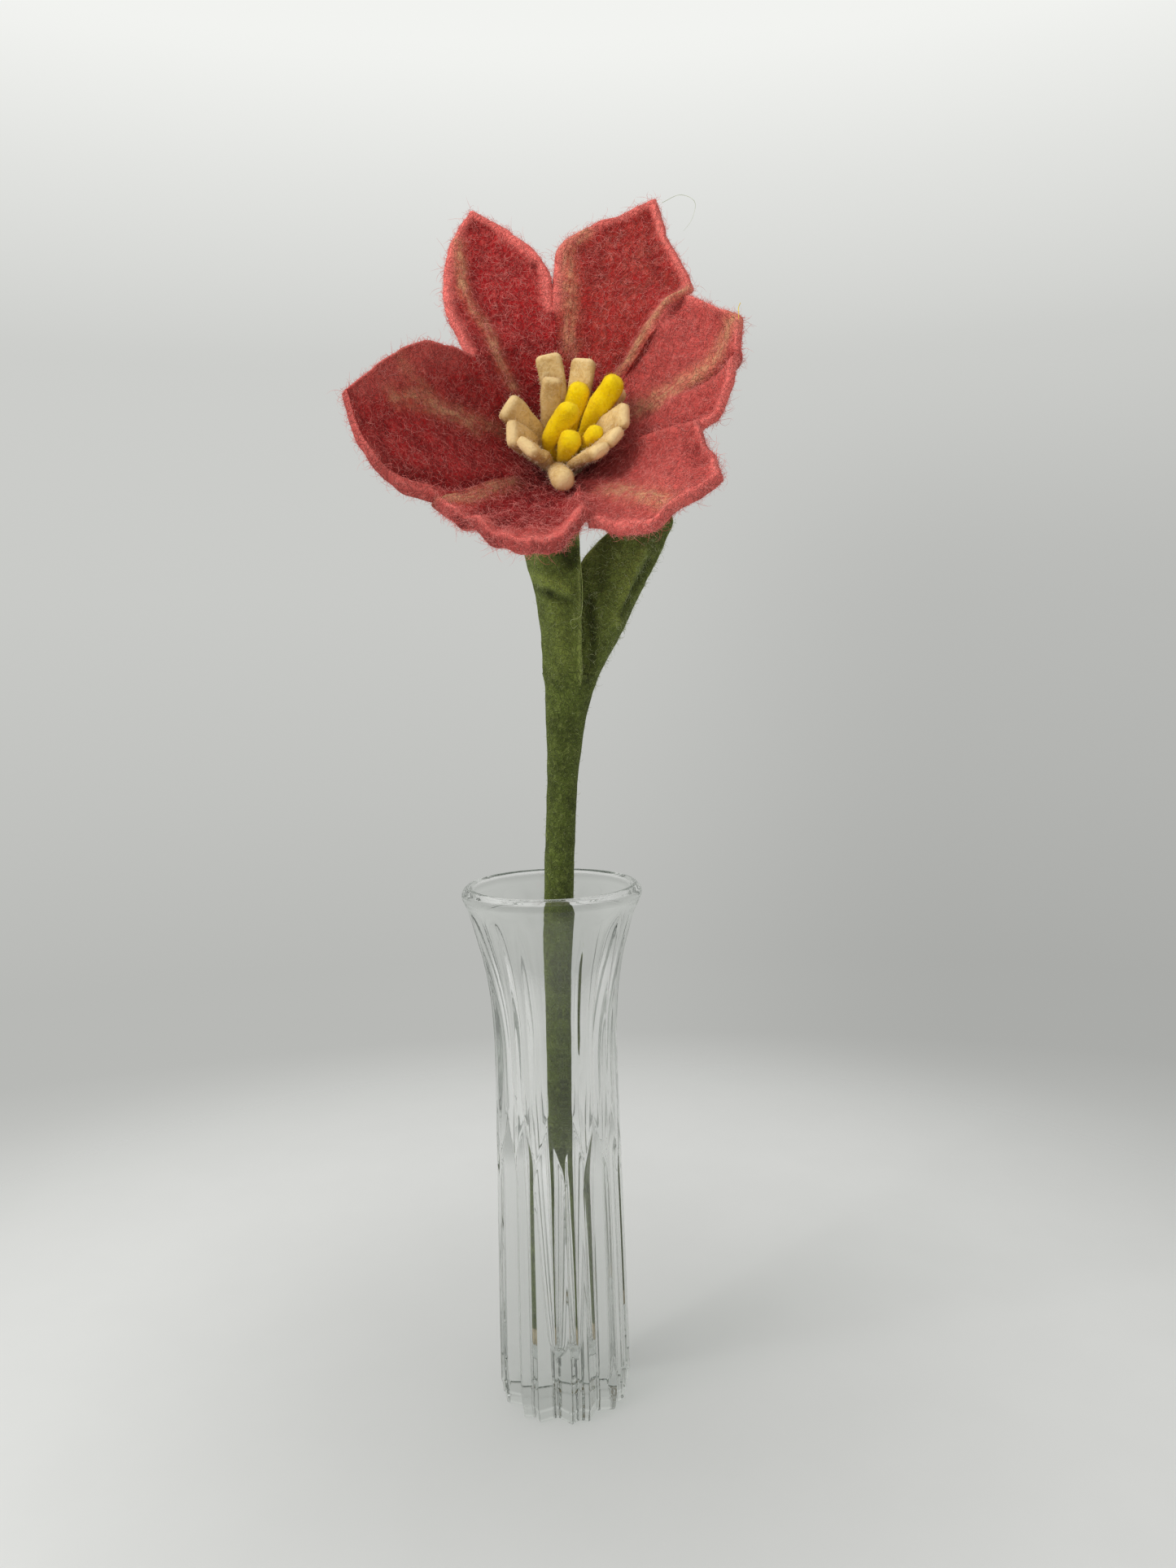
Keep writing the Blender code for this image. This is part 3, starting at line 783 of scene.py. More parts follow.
class FuzzKind(Enum):
    """How steeply loose fibres stand on their felt: 1 is straight up, and 0 lies flat."""

    HALO = 0.75
    MATTED = 0.22


@dataclass(frozen=True)
class FuzzStyle:
    """Length, curl and number of the loose fibres of one felt."""

    kind: FuzzKind
    count: int
    length: tuple[float, float]
    curl: float
    radius: float = 0.035
    edge_bias: float = 0.0
    steps: int = 5


@dataclass
class Fuzz:
    """Loose fibres that stand out of felt pieces, with their depths in millimetres."""

    seed: int
    rooted: float = 0.15
    clearance: float = 0.08
    waver: float = 0.12

    def __post_init__(self) -> None:
        """Start the one seeded source of chance that places these fibres."""
        self.chance = np.random.default_rng(self.seed)

    def roots(self, piece: bpy.types.Object, style: FuzzStyle) -> tuple[np.ndarray, np.ndarray]:
        """Choose where fibres start.

        Args:
            piece: A finished felt piece.
            style: The fibres' style.

        Returns:
            The roots and the felt's normals there, in millimetres.
        """
        mesh = piece.data
        mesh.calc_loop_triangles()
        count = len(mesh.loop_triangles)
        corners = np.empty(count * 3, np.int32)
        mesh.loop_triangles.foreach_get("vertices", corners)
        places = np.empty(len(mesh.vertices) * 3, np.float32)
        mesh.vertices.foreach_get("co", places)
        felt = np.empty(len(mesh.vertices) * 4, np.float32)
        mesh.attributes["felt"].data.foreach_get("color", felt)
        corners = corners.reshape(-1, 3)
        triangles = places.reshape(-1, 3)[corners].astype(float) / MM
        across = np.cross(triangles[:, 1] - triangles[:, 0], triangles[:, 2] - triangles[:, 0])
        edge = felt.reshape(-1, 4)[corners, 0].mean(axis=1)
        weight = np.linalg.norm(across, axis=1) * (1 + style.edge_bias * edge ** 2)
        chosen = self.chance.choice(count, style.count, p=weight / weight.sum())
        shares = self.chance.dirichlet((1, 1, 1), style.count)
        roots = np.einsum("ij,ijk->ik", shares, triangles[chosen])
        return roots, unit(across[chosen])

    def paths(self, roots: np.ndarray, normals: np.ndarray, style: FuzzStyle) -> np.ndarray:
        """Grow curling paths from roots.

        Args:
            roots: Where the fibres start.
            normals: The felt's normals there.
            style: The fibres' style.

        Returns:
            The points of each path.
        """
        count = len(roots)
        stand = style.kind.value
        sideways = unit(np.cross(normals, self.chance.normal(size=(count, 3))))
        heading = unit(normals * stand + sideways * (1 - stand))
        axis = unit(self.chance.normal(size=(count, 3)))
        if style.kind is FuzzKind.MATTED:
            axis = unit(axis * 0.35 + normals * self.chance.choice([-1, 1], (count, 1)))
        low, high = style.length
        step = (low + (high - low) * self.chance.random((count, 1)) ** 2.0) / style.steps
        turn = self.chance.normal(style.curl, style.curl * 0.5, (count, 1))
        path = [roots - normals * self.rooted]
        for _ in range(style.steps):
            path.append(path[-1] + heading * step)
            rise = np.einsum("ij,ij->i", path[-1] - roots, normals)
            below = np.minimum(0.0, rise - self.clearance)
            path[-1] = path[-1] - below[:, None] * normals
            heading = unit(heading * np.cos(turn) + np.cross(axis, heading) * np.sin(turn)
                           + self.chance.normal(0, self.waver, (count, 3)))
        return np.stack(path, axis=1)

    def grow(self, name: str, pieces: list[bpy.types.Object], styles: list[FuzzStyle],
             material: bpy.types.Material) -> bpy.types.Object:
        """Add one piece of loose fibres over felt pieces.

        Args:
            name: The piece's name.
            pieces: The felt that they stand on.
            styles: Their styles, each with its count for each piece.
            material: Their material.

        Returns:
            The piece of fibres.
        """
        paths = []
        for piece in pieces:
            for style in styles:
                for path in self.paths(*self.roots(piece, style), style):
                    paths.append((path, style.radius))
        return draw_threads(name, paths, material)


def draw_threads(name: str, paths: list[tuple[np.ndarray, float]], material: bpy.types.Material) -> bpy.types.Object:
    """Draw thin tapering threads.

    Args:
        name: The piece's name.
        paths: Points and radius of each thread, in millimetres.
        material: Their material.

    Returns:
        The piece.
    """
    curve = bpy.data.curves.new(name, "CURVE")
    curve.dimensions = "3D"
    curve.bevel_depth = MM
    curve.bevel_resolution = 0
    for path, radius in paths:
        spline = curve.splines.new("POLY")
        spline.points.add(len(path) - 1)
        spline.points.foreach_set("co", np.column_stack([path * MM, np.ones(len(path))]).ravel())
        taper = radius * np.interp(np.linspace(0, 1, len(path)), (0, 0.6, 1), (1.0, 0.9, 0.3))
        spline.points.foreach_set("radius", taper)
    curve.materials.append(material)
    piece = bpy.data.objects.new(name, curve)
    bpy.context.scene.collection.objects.link(piece)
    return join_in(piece)


@dataclass
class FlowerFrame:
    """The flower's own cylinder coordinates, with the throat as their origin."""

    throat: np.ndarray
    lift: float = 35.0
    swing: float = 4.0
    throat_inset: Point = (-0.23, 2.11, -5.41)

    @classmethod
    def from_neck(cls) -> "FlowerFrame":
        """Place the throat over the flat end of the frame's flower neck.

        Returns:
            The flower's frame.
        """
        low, high = box_mm("flower_neck")
        corner = np.array([(low[0] + high[0]) / 2, low[1], high[2]])
        return cls(throat=corner + np.array(cls.throat_inset))

    def __post_init__(self) -> None:
        """Work out the right, up and outward directions."""
        outward = Vector((0, -1, 0))
        outward.rotate(Matrix.Rotation(math.radians(-self.lift), 3, "X"))
        outward.rotate(Matrix.Rotation(math.radians(-self.swing), 3, "Z"))
        right = Matrix.Rotation(math.radians(-self.swing), 3, "Z") @ Vector((1, 0, 0))
        self.right = np.array(right)
        self.outward = np.array(outward)
        self.upward = np.array(outward.cross(right))

    def world(self, azimuth: np.ndarray, radius: np.ndarray, height: np.ndarray) -> np.ndarray:
        """Turn azimuth in degrees, radius and height into world points.

        Args:
            azimuth: Degrees about the flower's axis, from the right.
            radius: Distance from the axis.
            height: Distance outward along the axis.

        Returns:
            The points in millimetres.
        """
        angle = np.radians(np.asarray(azimuth, float))[..., None]
        radius, height = np.asarray(radius, float)[..., None], np.asarray(height, float)[..., None]
        flat = np.cos(angle) * self.right + np.sin(angle) * self.upward
        return self.throat + radius * flat + height * self.outward

    def chart(self, points: np.ndarray) -> np.ndarray:
        """Return points as they are seen along the flower's axis."""
        offset = points - self.throat
        return np.stack([offset @ self.right, offset @ self.upward], axis=-1)

    def off_axis(self, points: np.ndarray) -> np.ndarray:
        """Return the part of the points' offsets that is square to the axis."""
        offset = points - self.throat
        return offset - (offset @ self.outward)[..., None] * self.outward


@dataclass(frozen=True)
class PetalShape:
    """One petal: its seams, its edges from the throat to the tip, and what is worked into it."""

    name: str
    seams: tuple[float, float]
    tip: Point
    dish: float
    low_edge: tuple[Point, ...]
    high_edge: tuple[Point, ...]
    # How light the felt is, partly painted light: highest on the two right petals, which face the light.
    tone: float
    folds: tuple[Fold, ...] = ()
    swell: float = 0.3
    cut_face: float = 0.0
    # Width of the pale rim, which is partly painted highlight.
    pale_and_lit_rim: float = 3.3
    fringe: float = 2.0


PETALS = (
    PetalShape(
        "petal_left", (224, 145), (194, 57.3, 44.8), 4.0,
        ((224, 45.5, 22), (218, 53.5, 27.5), (208, 57.2, 35.5)),
        ((145, 31.5, 26.5), (151, 36, 31.5), (165, 40.5, 39), (182, 47.5, 43)),
        tone=0.12,
        folds=(
            Fold(((188, 45), (185, 41), (182, 36), (177.7, 30.3), (172.8, 24.2), (168.6, 19.6)), 2.2,
                 lift=0.3, wisp=0.4),
            Fold(((176, 42), (178, 33), (180, 26)), 2.4, wisp=0.25),
            # Painted shade in the crease above the curled lower lip, and painted highlight on the lip.
            Fold(((212, 53), (216, 45), (219, 38), (221, 30), (222, 22)), 2.6, lift=-1.8, dark=0.55),
            Fold(((208, 58), (214, 54), (218, 50), (220.5, 46.5)), 2.8, lift=1.5, light=0.9),
            Fold(((191, 54.5), (182, 46.5), (165, 39.5), (151, 35)), 3.0, light=0.8),
        ),
        swell=0.5, cut_face=0.5, pale_and_lit_rim=1.2,
    ),
    PetalShape(
        "petal_upper_left", (143, 94), (111, 78.5, 34.5), 4.0,
        ((143, 32.5, 25.5), (134, 48, 28), (126, 60, 30), (118, 70.8, 32.5)),
        ((94, 41.5, 22), (94, 49, 26.5), (97, 57.5, 29), (104, 68.5, 31.5)),
        tone=0.08,
        folds=(
            Fold(((117.5, 69.3), (119.6, 62.7), (123.1, 54.9), (124.2, 49.1), (124, 41), (125.2, 37),
                  (128.6, 29.3), (129.8, 23.7)), 1.8, lift=0.6, wisp=0.5),
            Fold(((116, 60), (119, 50), (120, 42)), 1.8, lift=-0.6, dark=0.2),
            Fold(((98.6, 55.6), (98.4, 54.6)), 0.9, lift=-1.0, dark=0.9),
        ),
    ),
    PetalShape(
        "petal_upper_right", (94, 44), (69, 80.5, 34), 4.0,
        ((94, 41.5, 22), (92.5, 53, 27.5), (90, 61, 30), (82, 69, 31), (76, 73, 32)),
        ((44, 38, 25.5), (46, 47.5, 29), (45, 55, 29), (53, 60.5, 30.5), (61, 67, 31)),
        tone=0.03,
        folds=(
            Fold(((84, 66), (88, 60), (88.2, 53.8), (87.6, 48.7), (87.4, 43.7), (86.8, 37.5),
                  (85.9, 31.2)), 2.4, lift=0.3, wisp=0.42),
            Fold(((45.6, 54), (47.1, 47.6), (47.4, 42), (47.8, 36.1), (48.2, 29.9), (50.6, 27.4)), 1.7,
                 lift=1.3, light=0.4, wisp=0.75),
            Fold(((54, 42), (55, 36), (56, 30)), 2.0, lift=-0.8, dark=0.12),
            Fold(((70, 26), (68, 44), (68, 62)), 20.0, dark=0.12, wisp=0.05),
        ),
    ),
    PetalShape(
        "petal_right", (44, -18), (15, 53.6, 40.7), 3.0,
        ((44, 38, 25.5), (46, 45, 28.6), (47.5, 51.5, 29.0), (39.6, 51.8, 31.2), (31.4, 50.8, 34.4),
         (23.2, 50.2, 38)),
        ((-18, 42, 27), (-15, 45.5, 29), (-9, 48, 32.5), (0, 50, 36.5), (8, 51.5, 38.5)),
        tone=0.75,
        folds=(
            Fold(((44.5, 52), (43.5, 46), (43, 40), (43, 34), (43.5, 29)), 1.5, lift=-0.9, dark=0.45),
            Fold(((15.1, 50.9), (13.3, 47.7), (11.2, 44.6), (10.7, 40.3), (10.6, 36.5), (12.8, 31),
                  (16.7, 26.5), (22.8, 20.3)), 3.0, wisp=0.6),
            Fold(((3.5, 50), (4.7, 48), (6.5, 45.5), (6.4, 42.3), (5.9, 38.6)), 1.4, lift=-1.8, dark=0.7),
            Fold(((-0.3, 50), (-0.5, 47.2), (-0.2, 43.3), (-0.3, 38.3), (2.2, 32.5)), 2.2, lift=1.8,
                 light=0.3),
            Fold(((-12, 44), (-13, 38), (-14, 30)), 2.0, lift=-1.4, dark=0.4),
        ),
    ),
    PetalShape(
        "petal_lower_right", (-18, -77), (-40, 58.8, 33), 3.0,
        ((-18, 42, 27), (-27, 45.5, 28.5), (-33, 51, 31.5)),
        ((-77, 44.5, 24), (-72, 50, 27), (-64, 58, 30.5), (-57, 57, 33), (-46, 58, 33)),
        tone=0.75,
        folds=(
            Fold(((-59, 27), (-57, 33), (-56.8, 38), (-56, 45.4), (-54.7, 51.5)), 3.4, lift=0.5, wisp=0.55),
            Fold(((-28, 42.8), (-31.5, 46), (-35, 49.8)), 2.8, lift=-2.0, dark=0.4),
            Fold(((-20, 42), (-19, 38), (-18, 31), (-15, 24)), 2.2, lift=1.8, light=0.3),
            Fold(((-70, 50), (-68, 44), (-66, 36)), 2.6, lift=-1.0, dark=0.15),
            Fold(((-49, 54), (-47, 46), (-44, 38)), 3.0, lift=0.8, light=0.2),
        ),
        swell=0.6, cut_face=0.3,
    ),
    PetalShape(
        "petal_bottom", (-77, -136), (-95, 58.5, 30), 3.0,
        ((-77, 44.5, 24), (-80, 48, 25.5), (-84, 51.5, 27.5), (-87, 55.5, 29.5)),
        ((-136, 46.5, 22), (-127, 47.5, 25), (-116, 49.5, 27.5), (-106, 54, 29)),
        tone=0.0,
        folds=(
            # Painted shadow of the stamens over the middle of the petal.
            Fold(((-100, 8), (-102, 22), (-104, 36)), 13.0, dark=0.42),
            Fold(((-136, 45), (-131.7, 39.5), (-131.4, 33.5), (-131.3, 27.4), (-131, 21.3)), 2.8,
                 lift=0.5, light=0.3, wisp=0.55),
            Fold(((-78.5, 50), (-78.5, 46), (-78.2, 40), (-78.5, 32.2)), 2.3, lift=3.0, light=0.35),
            Fold(((-83.5, 54), (-83, 49), (-82.5, 44), (-81, 36)), 2.5, lift=2.5, light=0.25),
            Fold(((-88.5, 57), (-88, 50), (-88, 44)), 2.2, lift=0.8, dark=0.1),
            Fold(((-94.5, 60), (-94.5, 54), (-95, 47)), 3.6, lift=2.0, light=0.15),
            Fold(((-101.5, 58), (-102, 51), (-102, 44)), 3.0, lift=0.9, light=0.15),
            Fold(((-106, 55), (-107, 49), (-107, 42)), 2.4, lift=-0.6, dark=0.2),
            Fold(((-113, 51), (-112, 45), (-110, 38)), 2.4, lift=1.0, light=0.2),
            Fold(((-120, 49), (-119, 43), (-118, 36)), 2.6, lift=-1.3, dark=0.25),
            # Painted highlight along the rim.
            Fold(((-81, 51), (-90, 56), (-99, 57), (-108, 53), (-121, 48)), 6.0, light=1.0),
            Fold(((-97, 46), (-92, 45), (-86, 42)), 3.2, lift=-0.8, dark=0.3),
            Fold(((-118, 42), (-108, 44), (-99, 46)), 3.2, lift=-0.6, dark=0.25),
        ),
        swell=1.5, cut_face=0.6, pale_and_lit_rim=5.5, fringe=2.8,
    ),
)


@dataclass
class PetalBlank:
    """A petal before anything is worked into it."""

    face: np.ndarray
    behind: np.ndarray
    across: np.ndarray
    along: np.ndarray
    depths: RimDepths


@dataclass
class Corolla:
    """The six felt petals, felted together around the throat."""

    flower: FlowerFrame
    thickness: float = 3.0
    foot: Point = (6.5, -1.6)
    knee: Point = (13.0, 6.0)
    seam_stops: tuple[float, ...] = (0.5, 0.9)
    overlap: float = 0.35
    opening: tuple[Point, Point] = ((6.0, 35.0), (30.0, 60.0))
    notch_index: int = 4
    notch_blend: float = 0.03
    lumps: Lumps = Lumps((0.45, 9.0), (0.25, 3.2))
    smooth_throat: tuple[float, float] = (0.12, 0.3)
    welt: Point = (0.5, 1.6, 1.5)
    throat_shade: tuple[Point, ...] = ((0.65, 19.0), (0.22, 36.0))
    ripples: Lumps = Lumps((0.7, 6.0), (0.35, 2.2))
    ripple_seeds: tuple[float, float] = (1.3, 7.7)
    ripple_depth: float = 4.0
    rounding: float = 1.7
    swell_width: float = 5.0
    lay_across: float = 40.0
    lay_along: float = 9.0
    columns: int = 56
    rows: int = 84

    def behind(self, points: np.ndarray) -> np.ndarray:
        """Find the way from the petals' inner face to their back.

        Args:
            points: Points on the inner face.

        Returns:
            A direction for each point.
        """
        radial = self.flower.off_axis(points)
        (near, steep), (far, wide) = self.opening
        reach = np.linalg.norm(radial, axis=-1)
        share = np.clip((reach - near) / (far - near), 0, 1)
        angle = np.radians(steep + (wide - steep) * share)[..., None]
        return unit(radial) * np.cos(angle) - self.flower.outward * np.sin(angle)

    @staticmethod
    def near_rim(depths: RimDepths, place: float, width: float) -> np.ndarray:
        """Return 1 at one depth from a petal's free edges, fading over a width.

        Args:
            depths: For each edge, how deep the points lie behind it and where it is free.
            place: The depth in millimetres.
            width: The width in millimetres.

        Returns:
            The nearness of each point.
        """
        low, high = (np.exp(-((depth - place) / width) ** 2) * free for depth, free in depths)
        return np.maximum(low, high)

    def edge(self, seam: float, points: tuple[Point, ...], tip: Point, side: int) -> Spline:
        """Return one edge of a petal from the throat to its tip.

        Args:
            seam: Azimuth of the seam that the edge starts on.
            points: The free part's points.
            tip: The tip.
            side: 1 or -1, the way into the petal.

        Returns:
            The edge as a curve in the world.
        """
        knee, notch = np.array((seam, *self.knee)), np.array(points[0], float)
        stops = [knee + (notch - knee) * share for share in self.seam_stops]
        route = [(seam, *self.foot), tuple(knee), *map(tuple, stops), *points]
        places = [self.flower.world(azimuth - math.degrees(self.overlap / radius) * side, radius, height)
                  for azimuth, radius, height in route]
        return Spline([*places, self.flower.world(*tip)])

    def blank(self, shape: PetalShape) -> PetalBlank:
        """Lay out a petal's inner face, dished and with rippled edges.

        Args:
            shape: The petal.

        Returns:
            The petal before anything is worked into it.
        """
        first, second = shape.seams
        side = 1 if second > first else -1
        low = self.edge(first, shape.low_edge, shape.tip, side)
        high = self.edge(second, shape.high_edge, shape.tip, -side)
        across = crowding_ends(self.columns)[None, :]
        along = np.linspace(0, 1, self.rows + 1)[:, None]
        start, end = low.at(along[:, 0])[:, None], high.at(along[:, 0])[:, None]
        face = start + (end - start) * across[..., None]
        radial = self.flower.off_axis(face)
        wide = [np.linalg.norm(self.flower.off_axis(item), axis=-1) for item in (start, face, end)]
        full = (1 - across) * wide[0] + across * wide[2]
        face = face + unit(radial) * ((full - wide[1]) * (1 - along) ** 2)[..., None]
        behind = self.behind(face)
        sink = 4 * across * (1 - across) * shape.dish * np.sin(np.pi * along)
        face = face + behind * sink[..., None]

        span = np.linalg.norm(end - start, axis=-1)
        notches = [line.share_of(self.notch_index) for line in (low, high)]
        free_low, free_high = (smooth_rise(along, notch - self.notch_blend, notch + self.notch_blend)
                               for notch in notches)
        depths = ((across * span, free_low), ((1 - across) * span, free_high))
        inward = unit(end - start)
        places = along[..., None] * low.length
        for (depth, free), sign, seed in zip(depths, (-1, 1), self.ripple_seeds):
            ripple = self.ripples.at(places, seed + shape.dish + first, seed + second)
            face = face + inward * (sign * ripple * free * np.exp(-depth / self.ripple_depth))[..., None]
        return PetalBlank(face, behind, across, along, depths)

    def worked(self, shape: PetalShape, blank: PetalBlank) -> tuple[np.ndarray, FeltPaint]:
        """Work lumps, rims and folds into a petal, with painted shade towards the throat and painted highlight on
        the rims.

        Args:
            shape: The petal.
            blank: Its plain inner face.

        Returns:
            The worked inner face and its paint.
        """
        first, second = shape.seams
        chart = self.flower.chart(blank.face)
        felt = FeltPaint.plain(blank.face.shape[:2], shape.tone)
        lift = self.lumps.at(blank.face, first, second) * smooth_rise(blank.along, *self.smooth_throat)
        height, place, width = self.welt
        lift = lift + height * self.near_rim(blank.depths, place, width)
        for fold in shape.folds:
            near = fold.nearness(chart)
            lift = lift + near * fold.lift
            felt.fold_in(fold, near)
        # Pale rim: the felt's paler cut edge with a painted highlight on the rounded rim.
        felt.edge = self.near_rim(blank.depths, 0.0, shape.pale_and_lit_rim)
        # Painted shade, deepening towards the throat.
        reach = np.linalg.norm(chart, axis=-1)
        for share, spread in self.throat_shade:
            felt.deep = felt.deep + share * np.exp(-(reach / spread) ** 2)
        felt.deep = felt.deep + shape.cut_face * self.near_rim(blank.depths, 0.0, 1.0)
        felt.lay = np.stack([blank.across * self.lay_across + 0 * blank.along,
                             blank.along * self.lay_along + 0 * blank.across,
                             np.full(blank.face.shape[:2], first)], axis=-1)
        return blank.face - blank.behind * lift[..., None], felt

    def build(self, shape: PetalShape, material: bpy.types.Material) -> bpy.types.Object:
        """Build one petal.

        Args:
            shape: The petal.
            material: Its felt.

        Returns:
            The piece.
        """
        blank = self.blank(shape)
        face, felt = self.worked(shape, blank)
        closing = np.maximum(*(np.clip(1 - depth / (self.rounding + 0.3 * shape.swell), 0, 1) * free
                               for depth, free in blank.depths))
        full_depth = self.thickness + shape.swell * self.near_rim(blank.depths, 0.0, self.swell_width)
        bm = sheet(face, blank.behind, full_depth, closing, felt)
        return add_piece(shape.name + "_felt", bm, material, (shape.name,))


@dataclass
class Bars:
    """Strips and fingers of felt: one rounded section drawn along a line, with a painted highlight at the rounded
    end and painted shade at the foot and on the narrow sides.
    """

    sides: int = 20
    rows: int = 30
    crowding: float = 1.6
    lumps: Lumps = Lumps((0.42, 6.0), (0.16, 2.2))
    painted_end_highlight: float = 0.5
    end_width: float = 1.5
    foot_shade: float = 0.5
    side_shade: float = 1.1

    @property
    def shares(self) -> np.ndarray:
        """Return the rows' shares of the length, which crowd at the rounded end."""
        return 1 - (1 - np.linspace(0, 1, self.rows)) ** self.crowding

    def build(self, line: Spline, widths: np.ndarray, depths: np.ndarray, sideways: np.ndarray,
              squareness: float, seed: float, tone: float = 0.3) -> bmesh.types.BMesh:
        """Draw a section along a line and round its far end.

        Args:
            line: The middle of the bar.
            widths: Full width for each row.
            depths: Full thickness for each row.
            sideways: Direction of the width for each row.
            squareness: 1 is an ellipse, and less is squarer.
            seed: Offset of the felt's unevenness.
            tone: How light the felt is.

        Returns:
            The mesh, in millimetres.
        """
        shares = self.shares
        centres, ahead = line.at(shares), line.directions(shares)
        sideways = unit(sideways - np.einsum("ij,ij->i", sideways, ahead)[:, None] * ahead)
        deep = np.cross(ahead, sideways)
        left = (1 - shares) * line.length
        radius = min(depths[-1] / 2, widths[-1] / 2)
        closing = np.sqrt(np.clip(1 - np.clip(1 - left / radius, 0, 1) ** 2, 0.0004, 1))
        angles = whole_turn(self.sides)
        broad = np.sign(np.cos(angles)) * np.abs(np.cos(angles)) ** squareness
        thin = np.sign(np.sin(angles)) * np.abs(np.sin(angles)) ** squareness
        shrink = closing ** (0.5 + 0.5 * squareness)
        half_width = (np.interp(shares, np.linspace(0, 1, len(widths)), widths) / 2 - radius
                      + radius * shrink)[:, None]
        half_depth = (np.interp(shares, np.linspace(0, 1, len(depths)), depths) / 2 * closing)[:, None]
        points = (centres[:, None] + (half_width * broad)[..., None] * sideways[:, None]
                  + (half_depth * thin)[..., None] * deep[:, None])
        uneven = self.lumps.at(points, seed + 5, seed)
        points = points + unit(points - centres[:, None]) * (uneven * closing[:, None])[..., None]
        felt = FeltPaint.plain(points.shape[:2], tone)
        # Painted highlight at the rounded end, carried in the edge channel.
        light = self.painted_end_highlight * np.exp(-(left / self.end_width) ** 2)
        felt.edge = np.broadcast_to(light[:, None], points.shape[:2])
        # Painted shade at the foot and on the narrow sides.
        felt.deep = felt.deep + self.foot_shade * smooth_rise(-shares, -0.45, -0.05)[:, None]
        sides = np.abs(np.cos(angles)) ** 5 * closing[:, None]
        felt.deep = felt.deep + self.side_shade * (1 - squareness) * sides
        return wrap(points, felt)


@dataclass
class Stamens:
    """The ring of cream felt strips, one of which stands end on as a knob."""

    flower: FlowerFrame
    tips: tuple[Point, ...] = (
        (30, 20.4, 20.0), (72, 21.9, 21.0), (100, 23.0, 21.5), (99, 12.4, 22.0), (173, 15.4, 22.0),
        (213, 16.2, 22.0), (236, 16.1, 21.0), (275, 24.0, 17.0), (309, 20.5, 21.0), (328, 20.2, 21.0),
        (350, 20.2, 22.0),
    )
    first_foot: float = 31.0
    foot: Point = (3.3, -2.3)
    knee: Point = (6.9, 4.2)
    knee_turn: float = 0.2
    thickness: float = 3.3
    flare: Point = (0.48, 0.56)
    flare_turn: float = 0.6
    widths: tuple[Point, ...] = ((0.0, 3.4), (0.25, 6.0), (0.5, 7.3), (0.85, 7.8), (1.0, 7.6))
    breadths: tuple[float, ...] = (1.0, 0.95, 1.0, 0.8, 1.1, 1.0, 0.95, 0.86, 0.95, 0.95, 1.0)
    turned: tuple[float, ...] = (0.0, 0.0, 0.0, 0.0, 0.85, 0.7, 0.25, 0.0, 0.0, 0.0, 0.4)
    turning: tuple[float, float] = (0.1, 0.6)
    taper: tuple[float, float] = (0.8, 1.15)
    squareness: float = 0.62
    knob: int = 7
    knob_squareness: float = 0.92
    knob_depth: float = 1.75
    stations: int = 14

    def build(self, index: int, material: bpy.types.Material) -> bpy.types.Object:
        """Build one strip.

        Args:
            index: Its place in the ring.
            material: Its felt.

        Returns:
            The piece.
        """
        azimuth, radius, height = self.tips[index]
        foot = self.first_foot + 360 / len(self.tips) * index
        course = Spline([
            (foot, *self.foot),
            (foot + (azimuth - foot) * self.knee_turn, *self.knee),
            (foot + (azimuth - foot) * self.flare_turn,
             self.knee[0] + (radius - self.knee[0]) * self.flare[0],
             self.knee[1] + (height - self.knee[1]) * self.flare[1]),
            (azimuth, radius, height),
        ])
        shares = np.linspace(0, 1, self.stations)
        turn, reach, rise = course.at(shares).T
        line = Spline(list(self.flower.world(turn, reach, rise)))
        widths = np.interp(shares, *np.array(self.widths).T) * self.breadths[index]
        bars = Bars()
        places = bars.shares
        turn = course.at(places)[:, 0]
        sideways = unit(self.flower.world(turn + 90, np.ones(bars.rows), np.zeros(bars.rows))
                        - self.flower.throat)
        broadside = unit(np.cross(line.directions(places), (0.0, -1.0, 0.0)))
        broadside = broadside * np.sign(np.einsum("ij,ij->i", broadside, sideways))[:, None]
        share = (self.turned[index] * smooth_rise(places, *self.turning))[:, None]
        sideways = sideways * (1 - share) + broadside * share
        depths = np.linspace(*self.taper, self.stations) * self.thickness
        squareness = self.squareness
        if index == self.knob:
            depths = depths * np.linspace(1.0, self.knob_depth, self.stations)
            squareness = self.knob_squareness
        bm = bars.build(line, widths, depths, sideways, squareness, 3.7 * index)
        name = "stamen_%02d" % (index + 1)
        return add_piece(name + "_felt", bm, material, (name,))


